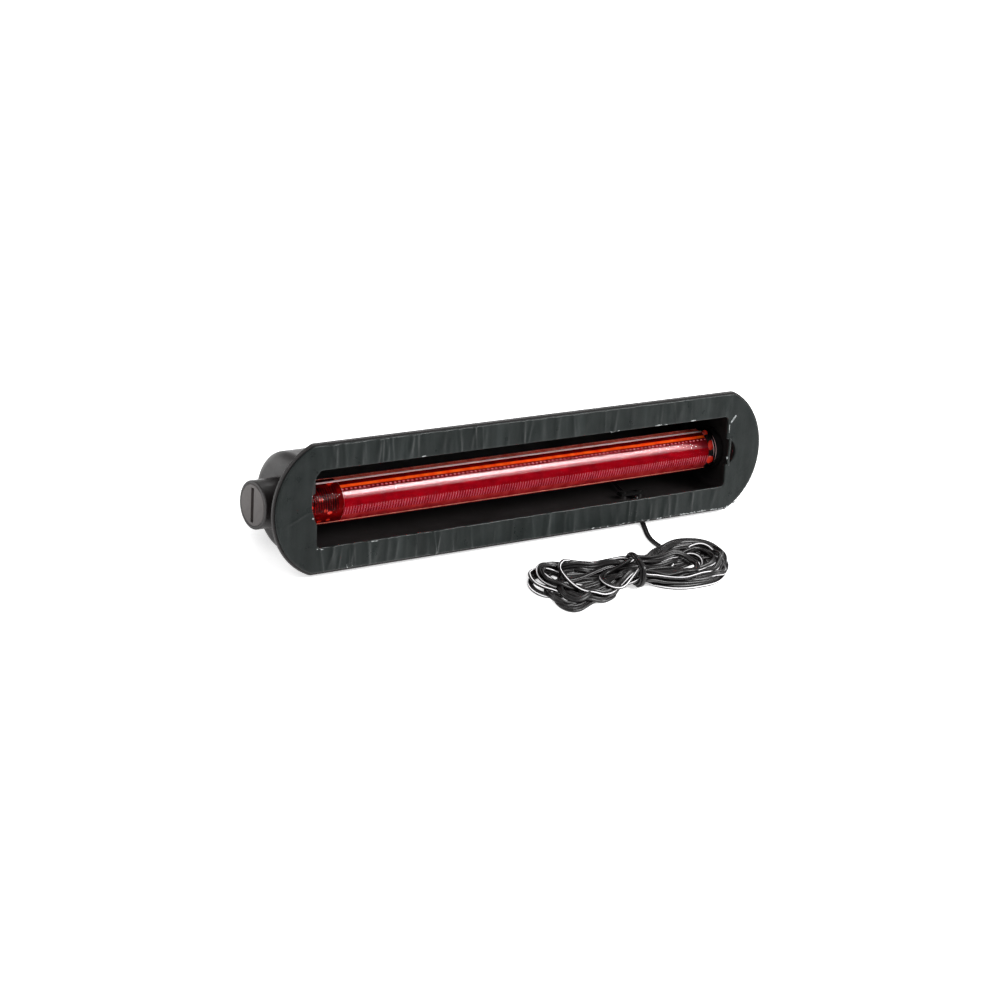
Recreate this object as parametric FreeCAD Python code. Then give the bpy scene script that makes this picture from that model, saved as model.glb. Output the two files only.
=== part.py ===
"""Third brake light: a long flanged housing with a tube lamp that tilts between two coin-slot pivot screws.

Everything is drawn in the face frame: X along the light, Y into the housing from the adhesive face,
Z up that face, origin at the centre of the face. main() then leans the finished light back on the
round of its housing, as it stands on a table, and puts the origin at the bottom centre of its box.
The free cord and its hank lie on the table, so they are drawn in the row frame directly.
Millimetres throughout.
"""
import FreeCAD, Part
import math
import os

from FreeCAD import Vector as V

# ---- driving dimensions -------------------------------------------------------------------------
LEAN_DEG = 24.5            # how far the light leans back where it stands

FLANGE_STRAIGHT = 328.0    # length of the flange's straight edges
FLANGE_SAGITTA = 27.0      # how far each rounded end stands out past them
FLANGE_HEIGHT = 80.0
PAD_THICKNESS = 1.2
PAD_INSET = 1.5            # rim of flange left bare round the pad
FLANGE_THICKNESS = 2.2
WINDOW_LENGTH = 321.0
WINDOW_HEIGHT = 47.0
WINDOW_CORNER = 3.0
FLANGE_CORNER_R = 6.0      # rounding between its straight edges and its ends
FLANGE_EDGE_R = 0.5        # rounding of its outline, front and back
NOTCH_HALF = 14.0          # shallow round notch in each end of the pad's window
NOTCH_DEPTH = 3.6
OPENING_HALF_X = 161.8     # opening in the flange, a little smaller than the trough behind it
OPENING_HALF_Z = 24.8
SLOT_HALF = 10.0           # shallow round slot in each end of that opening
SLOT_REACH = 168.2

WALL = 2.2                 # moulded wall of the housing
TROUGH_R = 30.3            # outside radius of the half-round trough
TROUGH_Y = 24.0            # depth of that round's centre
TROUGH_HALF = 171.4        # half the trough's outside length
TROUGH_END_FILLET = 6.0
END_WALL_IN = 169.2        # inside face of each end wall
END_WALL_OUT = 172.4       # floor of each end boss

PIVOT_Y = 26.0             # the lamp turns about the line Y = PIVOT_Y, Z = PIVOT_Z
PIVOT_Z = 0.2
LAMP_Z = -3.6              # height of the tube's own axis, a little below the one it turns on
BOSS_R = 14.7
BOSS_BORE_R = 12.8
BOSS_EDGE_R = 0.6
BOSS_END = 189.1           # outer end of each boss
HUB_R = 8.5                # bearing hub inside the boss
HUB_END = 182.9
JOURNAL_R = 6.0
JOURNAL_PLAY = 0.05        # radial clearance of the journal in its hub
HEAD_R = 12.6
HEAD_IN = 183.7
HEAD_OUT = 189.4
SLOT_WIDTH = 3.0
SLOT_LENGTH = 21.0
SLOT_DEPTH = 2.2
HEAD_CHAMFER = 0.4
THREAD_R = 4.0
THREAD_SHORT = 1.5         # the thread stops this far before the bottom of its insert
WASHER_R = 8.4
WASHER_THICKNESS = 0.6

LENS_R = 13.8
LENS_WALL = 2.0
LENS_HALF = 163.4
CAP_END = 168.0            # outside face of each end cap
PLUG_R = 11.5
PLUG_WALL = 2.5
LEFT_PLUG = 29.0           # the left cap's plug is long and ribbed
RIGHT_PLUG = 5.6
FIRST_RIB = 2.4            # first rib, inwards of the O-ring's centre
RIB_PITCH = 2.5
RIB_DEPTH = 0.5
SEAL_R = 0.75              # half the O-ring's section
SEAL_FROM_RIM = 3.2        # O-ring centre, inwards of the tube's end
CAP_HUB_R = 7.5
CAP_HUB_FLOOR = 1.0        # closed end of that hub, behind the insert
INSERT_R = 5.5
INSERT_LENGTH = 9.6
INSERT_GROOVE_HALF = 0.7
INSERT_GROOVE_DEPTH = 0.6
FRICTION_IN_R = 7.2
FRICTION_OUT_R = 9.6
FRICTION_THICKNESS = 1.8
FRICTION_SUNK = 0.8        # how deep the friction ring sits in its cap

OPTICS_LEFT = -133.0       # span of the optics between the two plugs
OPTICS_RIGHT = 156.8
REFLECTOR_IN_R = 10.4
REFLECTOR_OUT_R = 11.4
REFLECTOR_FRONT = -4.8     # the shell is open ahead of this depth from the lamp's axis
OPTIC_THICKNESS = 1.5
OPTIC_HALF = 9.6
FLUTE_COUNT = 8            # flutes along the optic strip's front
FLUTE_PITCH = 2.3
FLUTE_R = 1.2
FLUTE_RISE = 0.6           # flute centres, ahead of the strip's front
BOARD_FRONT = 3.0          # board's front face, behind the lamp's axis
BOARD_THICKNESS = 1.6
BOARD_HALF = 9.3
LED_COUNT = 15
LED_PITCH = 19.2
LED_SIZE = 5.0
LED_HEIGHT = 1.7
DOME_R = 1.9
DOME_HEIGHT = 1.0
DOME_EDGE_R = 0.7
CHIP_HALF_WIDTH = 0.8
CHIP_ROW = 6.0             # resistors below the LEDs, the diode above them
SOLDER_SPREAD = 1.9
SOLDER_FOOT_R = 0.9
SOLDER_TIP_R = 0.4
SOLDER_HEIGHT = 1.3

CORD_WIDTH = 3.9           # twin flat lead
CORD_THICKNESS = 2.0
CORD_X = 97.0              # where it leaves the housing
GROMMET_Y = 13.0
GROMMET_R = 4.6
GROMMET_NECK_R = 3.3
GROMMET_COLLAR = 1.5
GROMMET_SHORT = 0.7        # its neck stops this far below the inside of the wall
LEAD_R = 1.0               # inner lead
CLAMP_Y = 20.0
CLAMP_HALF_LENGTH = 9.5
CLAMP_HALF_WIDTH = 2.8
CLAMP_THICKNESS = 1.5
CLAMP_HOLE_R = 1.3
CLAMP_SCREW_SPREAD = 6.5
CLAMP_SCREW_R = 1.0
CLAMP_SCREW_LENGTH = 4.0
CLAMP_HEAD_R = 2.2
CLAMP_HEAD_HEIGHT = 1.2
CLAMP_HEAD_SLOT = 0.5
POST_R = 2.4
LAMP_LEAD_X = 56.0         # where the inner lead enters the lamp
LAMP_GROMMET_R = 3.4
LAMP_HOLE_R = 2.4
LAMP_GROMMET_COLLAR = 1.0
LEAD_ARC_MAX = 3.5

# ---- sizes worked out from them -----------------------------------------------------------------
FLANGE_HALF = FLANGE_STRAIGHT / 2
FLANGE_TOP = FLANGE_HEIGHT / 2
FLANGE_BACK = PAD_THICKNESS + FLANGE_THICKNESS
TROUGH_IN_R = TROUGH_R - WALL
LENS_IN_R = LENS_R - LENS_WALL
LEAN = math.radians(LEAN_DEG)

X_AXIS = V(1, 0, 0)
Y_AXIS = V(0, 1, 0)
Z_AXIS = V(0, 0, 1)


# ---- helpers ------------------------------------------------------------------------------------
def tube_x(x0, x1, r_out, r_in=0.0, y=PIVOT_Y, z=PIVOT_Z):
    """A round bar or tube along X, on the lamp's axis unless told otherwise."""
    low, high = min(x0, x1), max(x0, x1)
    solid = Part.makeCylinder(r_out, high - low, V(low, y, z), X_AXIS)
    if r_in:
        solid = solid.cut(Part.makeCylinder(r_in, high - low, V(low, y, z), X_AXIS))
    return solid


def block(x0, x1, y0, y1, z0, z1):
    return Part.makeBox(x1 - x0, y1 - y0, z1 - z0, V(x0, y0, z0))


def cylinder_z(x, y, z0, z1, r):
    return Part.makeCylinder(r, z1 - z0, V(x, y, z0), Z_AXIS)


def line(a, b):
    return Part.LineSegment(a, b).toShape()


def arc(a, middle, b):
    return Part.Arc(a, middle, b).toShape()


def flange_face(inset, y):
    """The flange's outline, drawn in by inset: two straight edges and two shallow round ends."""
    radius = (FLANGE_TOP ** 2 + FLANGE_SAGITTA ** 2) / (2 * FLANGE_SAGITTA) - inset
    centre = FLANGE_HALF + FLANGE_SAGITTA - radius - inset
    top = FLANGE_TOP - inset
    corner = centre + math.sqrt(radius ** 2 - top ** 2)
    tip = centre + radius
    edges = [
        line(V(-corner, y, -top), V(corner, y, -top)),
        arc(V(corner, y, -top), V(tip, y, 0), V(corner, y, top)),
        line(V(corner, y, top), V(-corner, y, top)),
        arc(V(-corner, y, top), V(-tip, y, 0), V(-corner, y, -top)),
    ]
    return Part.Face(Part.Wire(edges))


def rounded_block(half_x, half_z, corner, y0, y1):
    """A plug for a window, with rounded corners along Y."""
    solid = block(-half_x, half_x, y0, y1, -half_z, half_z)
    corners = [e for e in solid.Edges if abs(e.Vertexes[0].Y - e.Vertexes[1].Y) > 1e-6]
    return solid.makeFillet(corner, corners)


def trough_solid(half_length, radius, y_front, fillet):
    """A bar of D-shaped section, round at the back, with its end edges rounded behind the front."""
    bottom_back = V(-half_length, TROUGH_Y, -radius)
    top_back = V(-half_length, TROUGH_Y, radius)
    bottom_front = V(-half_length, y_front, -radius)
    top_front = V(-half_length, y_front, radius)
    edges = [
        line(bottom_front, bottom_back),
        arc(bottom_back, V(-half_length, TROUGH_Y + radius, 0), top_back),
        line(top_back, top_front),
        line(top_front, bottom_front),
    ]
    solid = Part.Face(Part.Wire(edges)).extrude(V(2 * half_length, 0, 0))
    ends = []
    for edge in solid.Edges:
        box = edge.BoundBox
        on_end = box.XLength < 1e-6
        if on_end and box.YMax > y_front + 1e-3:
            ends.append(edge)
    return solid.makeFillet(fillet, ends)


def end_slot(side):
    """The shallow round slot in each end of the flange's opening."""
    inner = side * (OPENING_HALF_X - 0.5)
    low, high = V(inner, 0, -SLOT_HALF), V(inner, 0, SLOT_HALF)
    tip = V(side * SLOT_REACH, 0, 0)
    face = Part.Face(Part.Wire([line(low, high), arc(high, tip, low)]))
    return face.extrude(V(0, FLANGE_BACK + 1, 0))


def end_notch(side):
    """The shallow round notch in each end of the pad's window."""
    inner = side * (WINDOW_LENGTH / 2 - 0.5)
    low, high = V(inner, -1, -NOTCH_HALF), V(inner, -1, NOTCH_HALF)
    tip = V(side * (WINDOW_LENGTH / 2 + NOTCH_DEPTH), -1, 0)
    face = Part.Face(Part.Wire([line(low, high), arc(high, tip, low)]))
    return face.extrude(V(0, PAD_THICKNESS + 2, 0))


def flat_section(centre, across, up):
    """The lead's obround section: across is its wide direction, up its thin one."""
    half_flat = (CORD_WIDTH - CORD_THICKNESS) / 2
    half_thick = CORD_THICKNESS / 2
    a, b = across * half_flat, up * half_thick
    edges = [
        line(centre - a - b, centre + a - b),
        arc(centre + a - b, centre + across * (CORD_WIDTH / 2), centre + a + b),
        line(centre + a + b, centre - a + b),
        arc(centre - a + b, centre - across * (CORD_WIDTH / 2), centre - a - b),
    ]
    return Part.Wire(edges)


def smooth_path(points, radius_max=1e9):
    """Straight runs joined by tangent arcs, each arc 0.45 of its shorter run; returns wire and radii."""
    edges, radii = [], []
    start = points[0]
    for i in range(1, len(points) - 1):
        before, corner, after = points[i - 1], points[i], points[i + 1]
        u = (before - corner).normalize()
        w = (after - corner).normalize()
        half_turn = (math.pi - u.getAngle(w)) / 2
        shorter = min((before - corner).Length, (after - corner).Length)
        radius = min(0.45 * shorter / math.tan(half_turn), radius_max)
        reach = radius * math.tan(half_turn)
        first, last = corner + u * reach, corner + w * reach
        bisector = (u + w).normalize()
        middle = corner + bisector * (radius / math.cos(half_turn) - radius)
        edges.append(line(start, first))
        edges.append(arc(first, middle, last))
        radii.append(radius)
        start = last
    edges.append(line(start, points[-1]))
    return Part.Wire(edges), radii


# ---- housing ------------------------------------------------------------------------------------
def make_flange():
    """The flat flange, its outline rounded front and back."""
    flange = flange_face(0.0, PAD_THICKNESS).extrude(V(0, FLANGE_THICKNESS, 0))
    flange = flange.makeFillet(FLANGE_CORNER_R, [e for e in flange.Edges if e.BoundBox.YLength > 1e-3])
    return flange.makeFillet(FLANGE_EDGE_R, [e for e in flange.Edges if e.BoundBox.YLength < 1e-6])


def make_boss(side):
    boss = tube_x(side * (END_WALL_IN - 1.0), side * BOSS_END, BOSS_R)
    rim = [e for e in boss.Edges if e.BoundBox.XLength < 1e-6
           and abs(e.BoundBox.Center.x - side * BOSS_END) < 1e-6]
    return boss.makeFillet(BOSS_EDGE_R, rim)


def make_housing():
    body = make_flange()
    body = body.fuse(trough_solid(TROUGH_HALF, TROUGH_R, FLANGE_BACK - 1.0, TROUGH_END_FILLET))
    for side in (-1, 1):
        body = body.fuse(make_boss(side))
    cavity = trough_solid(END_WALL_IN, TROUGH_IN_R, FLANGE_BACK, TROUGH_END_FILLET - WALL)
    opening = rounded_block(OPENING_HALF_X, OPENING_HALF_Z, WINDOW_CORNER, 0.0, FLANGE_BACK + 1.0)
    body = body.cut(cavity).cut(opening)
    for side in (-1, 1):
        recess = tube_x(side * END_WALL_OUT, side * (BOSS_END + 1), BOSS_BORE_R)
        hub = tube_x(side * (END_WALL_OUT - 0.5), side * HUB_END, HUB_R)
        bore = tube_x(side * (END_WALL_IN - 3), side * (HUB_END + 1), JOURNAL_R + JOURNAL_PLAY)
        body = body.cut(recess).fuse(hub).cut(bore).cut(end_slot(side))
        screw_x = CORD_X + side * CLAMP_SCREW_SPREAD
        post = cylinder_z(screw_x, CLAMP_Y, -TROUGH_IN_R - 0.5, -TROUGH_IN_R + 2 * LEAD_R, POST_R)
        pilot = cylinder_z(screw_x, CLAMP_Y, -TROUGH_IN_R - 1.0, 0.0, CLAMP_SCREW_R)
        body = body.fuse(post).cut(pilot)
    return body.cut(cylinder_z(CORD_X, GROMMET_Y, -TROUGH_R - 1, -TROUGH_IN_R + 1, GROMMET_NECK_R))


def make_pad():
    pad = flange_face(PAD_INSET, 0.0).extrude(V(0, PAD_THICKNESS, 0))
    window = rounded_block(WINDOW_LENGTH / 2, WINDOW_HEIGHT / 2, WINDOW_CORNER, -1, PAD_THICKNESS + 1)
    pad = pad.cut(window)
    for side in (-1, 1):
        pad = pad.cut(end_notch(side))
    return pad


# ---- pivots -------------------------------------------------------------------------------------
def make_pivot_screw(side):
    head = tube_x(side * HEAD_IN, side * HEAD_OUT, HEAD_R)
    rims = [e for e in head.Edges if abs(abs(e.BoundBox.Center.x) - HEAD_OUT) < 1e-6]
    head = head.makeChamfer(HEAD_CHAMFER, [e for e in rims if e.BoundBox.XLength < 1e-6])
    journal = tube_x(side * (CAP_END + 0.4), side * (HEAD_IN + 1), JOURNAL_R)
    thread_end = CAP_END - INSERT_LENGTH + THREAD_SHORT
    thread = tube_x(side * thread_end, side * (CAP_END + 1), THREAD_R)
    low, high = sorted((side * (HEAD_OUT - SLOT_DEPTH), side * (HEAD_OUT + 1)))
    slot = block(low, high, PIVOT_Y - SLOT_WIDTH / 2, PIVOT_Y + SLOT_WIDTH / 2,
                 PIVOT_Z - SLOT_LENGTH / 2, PIVOT_Z + SLOT_LENGTH / 2)
    return head.fuse(journal).fuse(thread).cut(slot)


def make_washer(side):
    return tube_x(side * (HEAD_IN - WASHER_THICKNESS), side * HEAD_IN, WASHER_R, JOURNAL_R + 0.3)


def make_friction_ring(side):
    inner = CAP_END - FRICTION_SUNK
    return tube_x(side * inner, side * (inner + FRICTION_THICKNESS), FRICTION_OUT_R, FRICTION_IN_R)


# ---- lamp ---------------------------------------------------------------------------------------
def make_lens_tube():
    tube = tube_x(-LENS_HALF, LENS_HALF, LENS_R, LENS_IN_R, z=LAMP_Z)
    start = V(LAMP_LEAD_X, PIVOT_Y + LENS_IN_R - 3, LAMP_Z)
    hole = Part.makeCylinder(LAMP_HOLE_R, LENS_WALL + 4, start, Y_AXIS)
    return tube.cut(hole)


def make_end_cap(side, plug_length):
    inner = LENS_HALF - plug_length
    cap = tube_x(side * LENS_HALF, side * CAP_END, LENS_R, z=LAMP_Z)
    plug = tube_x(side * inner, side * (LENS_HALF + 1), PLUG_R, PLUG_R - PLUG_WALL, z=LAMP_Z)
    hub_end = CAP_END - INSERT_LENGTH - CAP_HUB_FLOOR
    hub = tube_x(side * hub_end, side * (LENS_HALF + 1), CAP_HUB_R)
    groove_x = LENS_HALF - SEAL_FROM_RIM
    groove = tube_x(side * (groove_x - SEAL_R), side * (groove_x + SEAL_R), PLUG_R + 1,
                    LENS_IN_R - 2 * SEAL_R, z=LAMP_Z)
    cap = cap.fuse(plug).fuse(hub).cut(groove)
    first_rib = groove_x - FIRST_RIB
    for i in range(int((first_rib - inner) / RIB_PITCH)):
        x = first_rib - i * RIB_PITCH
        cap = cap.cut(tube_x(side * (x - RIB_PITCH / 2), side * x, PLUG_R + 1, PLUG_R - RIB_DEPTH,
                             z=LAMP_Z))
    cap = cap.cut(tube_x(side * (CAP_END - INSERT_LENGTH), side * (CAP_END + 1), INSERT_R))
    ring_seat = tube_x(side * (CAP_END - FRICTION_SUNK), side * (CAP_END + 1), FRICTION_OUT_R,
                       FRICTION_IN_R)
    return cap.cut(ring_seat)


def make_insert(side):
    insert = tube_x(side * (CAP_END - INSERT_LENGTH), side * CAP_END, INSERT_R, THREAD_R + 0.05)
    middle = CAP_END - INSERT_LENGTH / 2
    groove = tube_x(side * (middle - INSERT_GROOVE_HALF), side * (middle + INSERT_GROOVE_HALF),
                    INSERT_R + 1, INSERT_R - INSERT_GROOVE_DEPTH)
    return insert.cut(groove)


def make_seal(side):
    x = side * (LENS_HALF - SEAL_FROM_RIM)
    return Part.makeTorus(LENS_IN_R - SEAL_R, SEAL_R, V(x, PIVOT_Y, LAMP_Z), X_AXIS)


def make_reflector():
    shell = tube_x(OPTICS_LEFT, OPTICS_RIGHT, REFLECTOR_OUT_R, REFLECTOR_IN_R, z=LAMP_Z)
    front = block(OPTICS_LEFT - 1, OPTICS_RIGHT + 1, PIVOT_Y - LENS_R, PIVOT_Y + REFLECTOR_FRONT,
                  LAMP_Z - LENS_R, LAMP_Z + LENS_R)
    lead_hole = Part.makeCylinder(LEAD_R + 0.5, 6.0, V(LAMP_LEAD_X, PIVOT_Y + 8, LAMP_Z), Y_AXIS)
    return shell.cut(front).cut(lead_hole)


def make_optic_strip():
    back = PIVOT_Y + REFLECTOR_FRONT
    strip = block(OPTICS_LEFT, OPTICS_RIGHT, back - OPTIC_THICKNESS, back,
                  LAMP_Z - OPTIC_HALF, LAMP_Z + OPTIC_HALF)
    for i in range(FLUTE_COUNT):
        z = LAMP_Z + (i - (FLUTE_COUNT - 1) / 2) * FLUTE_PITCH
        strip = strip.cut(tube_x(OPTICS_LEFT - 1, OPTICS_RIGHT + 1, FLUTE_R, 0.0,
                                 back - OPTIC_THICKNESS - FLUTE_RISE, z))
    return strip


def make_led_board():
    front = PIVOT_Y + BOARD_FRONT
    board = block(OPTICS_LEFT + 0.5, OPTICS_RIGHT - 0.5, front, front + BOARD_THICKNESS,
                  LAMP_Z - BOARD_HALF, LAMP_Z + BOARD_HALF)
    return board


def led_places():
    middle = (OPTICS_LEFT + OPTICS_RIGHT) / 2
    return [middle + (i - (LED_COUNT - 1) / 2) * LED_PITCH for i in range(LED_COUNT)]


def make_leds():
    """Square LED packages, each with a small dome."""
    front = PIVOT_Y + BOARD_FRONT
    half = LED_SIZE / 2
    leds = []
    for x in led_places():
        base = block(x - half, x + half, front - LED_HEIGHT, front, LAMP_Z - half, LAMP_Z + half)
        top = front - LED_HEIGHT - DOME_HEIGHT
        dome = Part.makeCylinder(DOME_R, DOME_HEIGHT, V(x, top, LAMP_Z), Y_AXIS)
        rim = [e for e in dome.Edges if e.Curve.TypeId == "Part::GeomCircle"
               and abs(e.BoundBox.Center.y - top) < 1e-6]
        leds.append(base.fuse(dome.makeFillet(DOME_EDGE_R, rim)))
    return Part.makeCompound(leds)


def chips(places, length, height, z):
    """Small surface-mounted parts on the board's front face."""
    front = PIVOT_Y + BOARD_FRONT
    return Part.makeCompound([
        block(x - length / 2, x + length / 2, front - height, front,
              z - CHIP_HALF_WIDTH, z + CHIP_HALF_WIDTH) for x in places
    ])


def make_resistors():
    places = led_places()
    return chips([(places[i] + places[i + 1]) / 2 for i in range(1, LED_COUNT - 2, 3)], 3.2, 0.6,
                 LAMP_Z - CHIP_ROW)


def make_diode():
    places = led_places()
    return chips([(places[9] + places[10]) / 2], 4.4, 1.1, LAMP_Z + CHIP_ROW)


def make_solder_joints():
    """The two solder joints on the board's back, where the inner lead's cores end."""
    back = PIVOT_Y + BOARD_FRONT + BOARD_THICKNESS
    joints = []
    for side in (-1, 1):
        foot = V(LAMP_LEAD_X + side * SOLDER_SPREAD, back, LAMP_Z)
        joints.append(Part.makeCone(SOLDER_FOOT_R, SOLDER_TIP_R, SOLDER_HEIGHT, foot, Y_AXIS))
    return Part.makeCompound(joints)


# ---- leads inside -------------------------------------------------------------------------------
def inner_lead_points():
    """From the grommet's outer face, along the floor of the trough and up behind the lamp."""
    floor = -TROUGH_IN_R + LEAD_R
    lamp_back = PIVOT_Y + BOARD_FRONT + BOARD_THICKNESS + 1.6
    return [
        V(CORD_X, GROMMET_Y, -TROUGH_R - GROMMET_COLLAR),
        V(CORD_X, GROMMET_Y, floor + 1.2),
        V(CORD_X, GROMMET_Y + 3.9, floor),
        V(CORD_X, GROMMET_Y + 10.3, floor),
        V(CORD_X, GROMMET_Y + 16.0, floor + 1.3),
        V(CORD_X - 2, 37.5, -21.0),
        V(CORD_X - 11, 44.5, -12.0),
        V(CORD_X - 24, 46.6, -5.0),
        V(LAMP_LEAD_X, 45.6, LAMP_Z),
        V(LAMP_LEAD_X, lamp_back, LAMP_Z),
    ]


def make_inner_lead():
    points = inner_lead_points()
    path, radii = smooth_path(points, LEAD_ARC_MAX)
    heading = points[1] - points[0]
    section = Part.Wire(Part.makeCircle(LEAD_R, points[0], heading))
    lead = path.makePipeShell([section], True, True)
    report_sweep("inner_lead", lead, path, radii, math.pi * LEAD_R ** 2)
    return lead


def make_lamp_grommet():
    outside = PIVOT_Y + math.sqrt(LENS_R ** 2 - LAMP_GROMMET_R ** 2)
    collar = Part.makeCylinder(LAMP_GROMMET_R, PIVOT_Y + LENS_R + LAMP_GROMMET_COLLAR - outside,
                               V(LAMP_LEAD_X, outside, LAMP_Z), Y_AXIS)
    collar = collar.cut(tube_x(LAMP_LEAD_X - 4, LAMP_LEAD_X + 4, LENS_R, z=LAMP_Z))
    neck = Part.makeCylinder(LAMP_HOLE_R, LENS_WALL + LAMP_GROMMET_COLLAR,
                             V(LAMP_LEAD_X, PIVOT_Y + LENS_IN_R, LAMP_Z), Y_AXIS)
    bore = Part.makeCylinder(LEAD_R, 8.0, V(LAMP_LEAD_X, PIVOT_Y + LENS_IN_R - 2, LAMP_Z), Y_AXIS)
    return collar.fuse(neck).cut(bore)


def make_cord_grommet():
    outside = -TROUGH_R - GROMMET_COLLAR
    collar = cylinder_z(CORD_X, GROMMET_Y, outside, -TROUGH_R, GROMMET_R)
    neck = cylinder_z(CORD_X, GROMMET_Y, -TROUGH_R - 0.5, -TROUGH_IN_R - GROMMET_SHORT,
                      GROMMET_NECK_R)
    bore = cylinder_z(CORD_X, GROMMET_Y, outside - 1, -TROUGH_IN_R + 1, LEAD_R)
    return collar.fuse(neck).cut(bore)


def make_cord_clamp():
    low = -TROUGH_IN_R + 2 * LEAD_R
    bar = block(CORD_X - CLAMP_HALF_LENGTH, CORD_X + CLAMP_HALF_LENGTH,
                CLAMP_Y - CLAMP_HALF_WIDTH, CLAMP_Y + CLAMP_HALF_WIDTH, low, low + CLAMP_THICKNESS)
    for side in (-1, 1):
        bar = bar.cut(cylinder_z(CORD_X + side * CLAMP_SCREW_SPREAD, CLAMP_Y, low - 1, low + 3,
                                 CLAMP_HOLE_R))
    return bar


def make_clamp_screws():
    low = -TROUGH_IN_R + 2 * LEAD_R + CLAMP_THICKNESS
    screws = []
    for side in (-1, 1):
        x = CORD_X + side * CLAMP_SCREW_SPREAD
        head = cylinder_z(x, CLAMP_Y, low, low + CLAMP_HEAD_HEIGHT, CLAMP_HEAD_R)
        shank = cylinder_z(x, CLAMP_Y, low - CLAMP_SCREW_LENGTH, low + 0.5, CLAMP_SCREW_R)
        slot = block(x - 3, x + 3, CLAMP_Y - CLAMP_HEAD_SLOT / 2, CLAMP_Y + CLAMP_HEAD_SLOT / 2,
                     low + CLAMP_HEAD_HEIGHT - CLAMP_HEAD_SLOT, low + 2)
        screws.append(head.fuse(shank).cut(slot))
    return Part.makeCompound(screws)


# ---- free cord, in the row frame ----------------------------------------------------------------
HANK_CENTRE = V(46.0, -83.0, 0.0)
HANK_TURN_DEG = -5.5
HANK_HEIGHT = 14.0
HANK_TOP_FILLET = 4.0
# the hank's outline along its own length: (station from its middle, near edge, far edge)
HANK_STATIONS = [(-81, -14, 2), (-68, -22, 16), (-42, -25, 28), (-10, -17, 21), (20, -12, 14),
                 (42, -25, 24), (66, -24, 26), (80, -6, 12)]


def make_hank():
    """One closed solid of the hank's outer shape: two fanned lobes and the tied waist."""
    upper = [V(x, high, 0) for x, low, high in HANK_STATIONS]
    lower = [V(x, low, 0) for x, low, high in reversed(HANK_STATIONS)]
    outline = Part.BSplineCurve()
    outline.interpolate(upper + lower, PeriodicFlag=True)
    solid = Part.Face(Part.Wire([outline.toShape()])).extrude(V(0, 0, HANK_HEIGHT))
    top = [e for e in solid.Edges if e.BoundBox.ZMin > HANK_HEIGHT - 1e-3]
    solid = solid.makeFillet(HANK_TOP_FILLET, top)
    solid.rotate(V(0, 0, 0), Z_AXIS, HANK_TURN_DEG)
    solid.translate(HANK_CENTRE)
    return solid


def cord_points(exit_point):
    """Down and forward out of the grommet, then along the table under the flange to the hank."""
    lying = CORD_THICKNESS / 2
    down = V(0, -math.sin(LEAN), -math.cos(LEAN))
    first = exit_point + down * 2.0
    return [
        exit_point,
        first,
        V(CORD_X, first.y - 2.6, lying + 1.1),
        V(CORD_X, -28.2, lying),
        V(CORD_X, -38.2, lying),
        V(92.0, -48.0, lying),
        V(93.5, -57.5, lying),
        V(98.0, -65.5, lying),
    ]


LAST_STEEP_RUN = 3         # the run of cord_points that is both square to X and flat on the table


def sweep_flat(edges, section, binormal):
    sweep = Part.BRepOffsetAPI.MakePipeShell(Part.Wire(edges))
    sweep.setBiNormalMode(binormal)
    sweep.add(section)
    sweep.build()
    sweep.makeSolid()
    return sweep.shape()


def make_cord(exit_point):
    """The flat lead bends about X until it lies on the table, and about Z from there on."""
    points = cord_points(exit_point)
    path, radii = smooth_path(points)
    split = 2 * LAST_STEEP_RUN + 1
    steep, flat = path.Edges[:split], path.Edges[split:]
    cord = sweep_flat(steep, flat_section(points[0], X_AXIS, V(0, math.cos(LEAN), -math.sin(LEAN))),
                      X_AXIS)
    corner = flat[0].Vertexes[0].Point
    cord = cord.fuse(sweep_flat(flat, flat_section(corner, X_AXIS, Z_AXIS), Z_AXIS))
    area = (CORD_WIDTH - CORD_THICKNESS) * CORD_THICKNESS + math.pi * (CORD_THICKNESS / 2) ** 2
    report_sweep("cord", cord, path, radii, area)
    return cord


def report_sweep(name, solid, path, radii, area):
    print(name, "bend radii", [round(r, 1) for r in radii], "path", round(path.Length, 1),
          "volume / section x length", round(solid.Volume / (area * path.Length), 4))


# ---- placement and export -----------------------------------------------------------------------
def tight_box(shapes):
    boxes = [s.optimalBoundingBox(True, False) for s in shapes]
    low = V(min(b.XMin for b in boxes), min(b.YMin for b in boxes), min(b.ZMin for b in boxes))
    high = V(max(b.XMax for b in boxes), max(b.YMax for b in boxes), max(b.ZMax for b in boxes))
    return low, high


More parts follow.
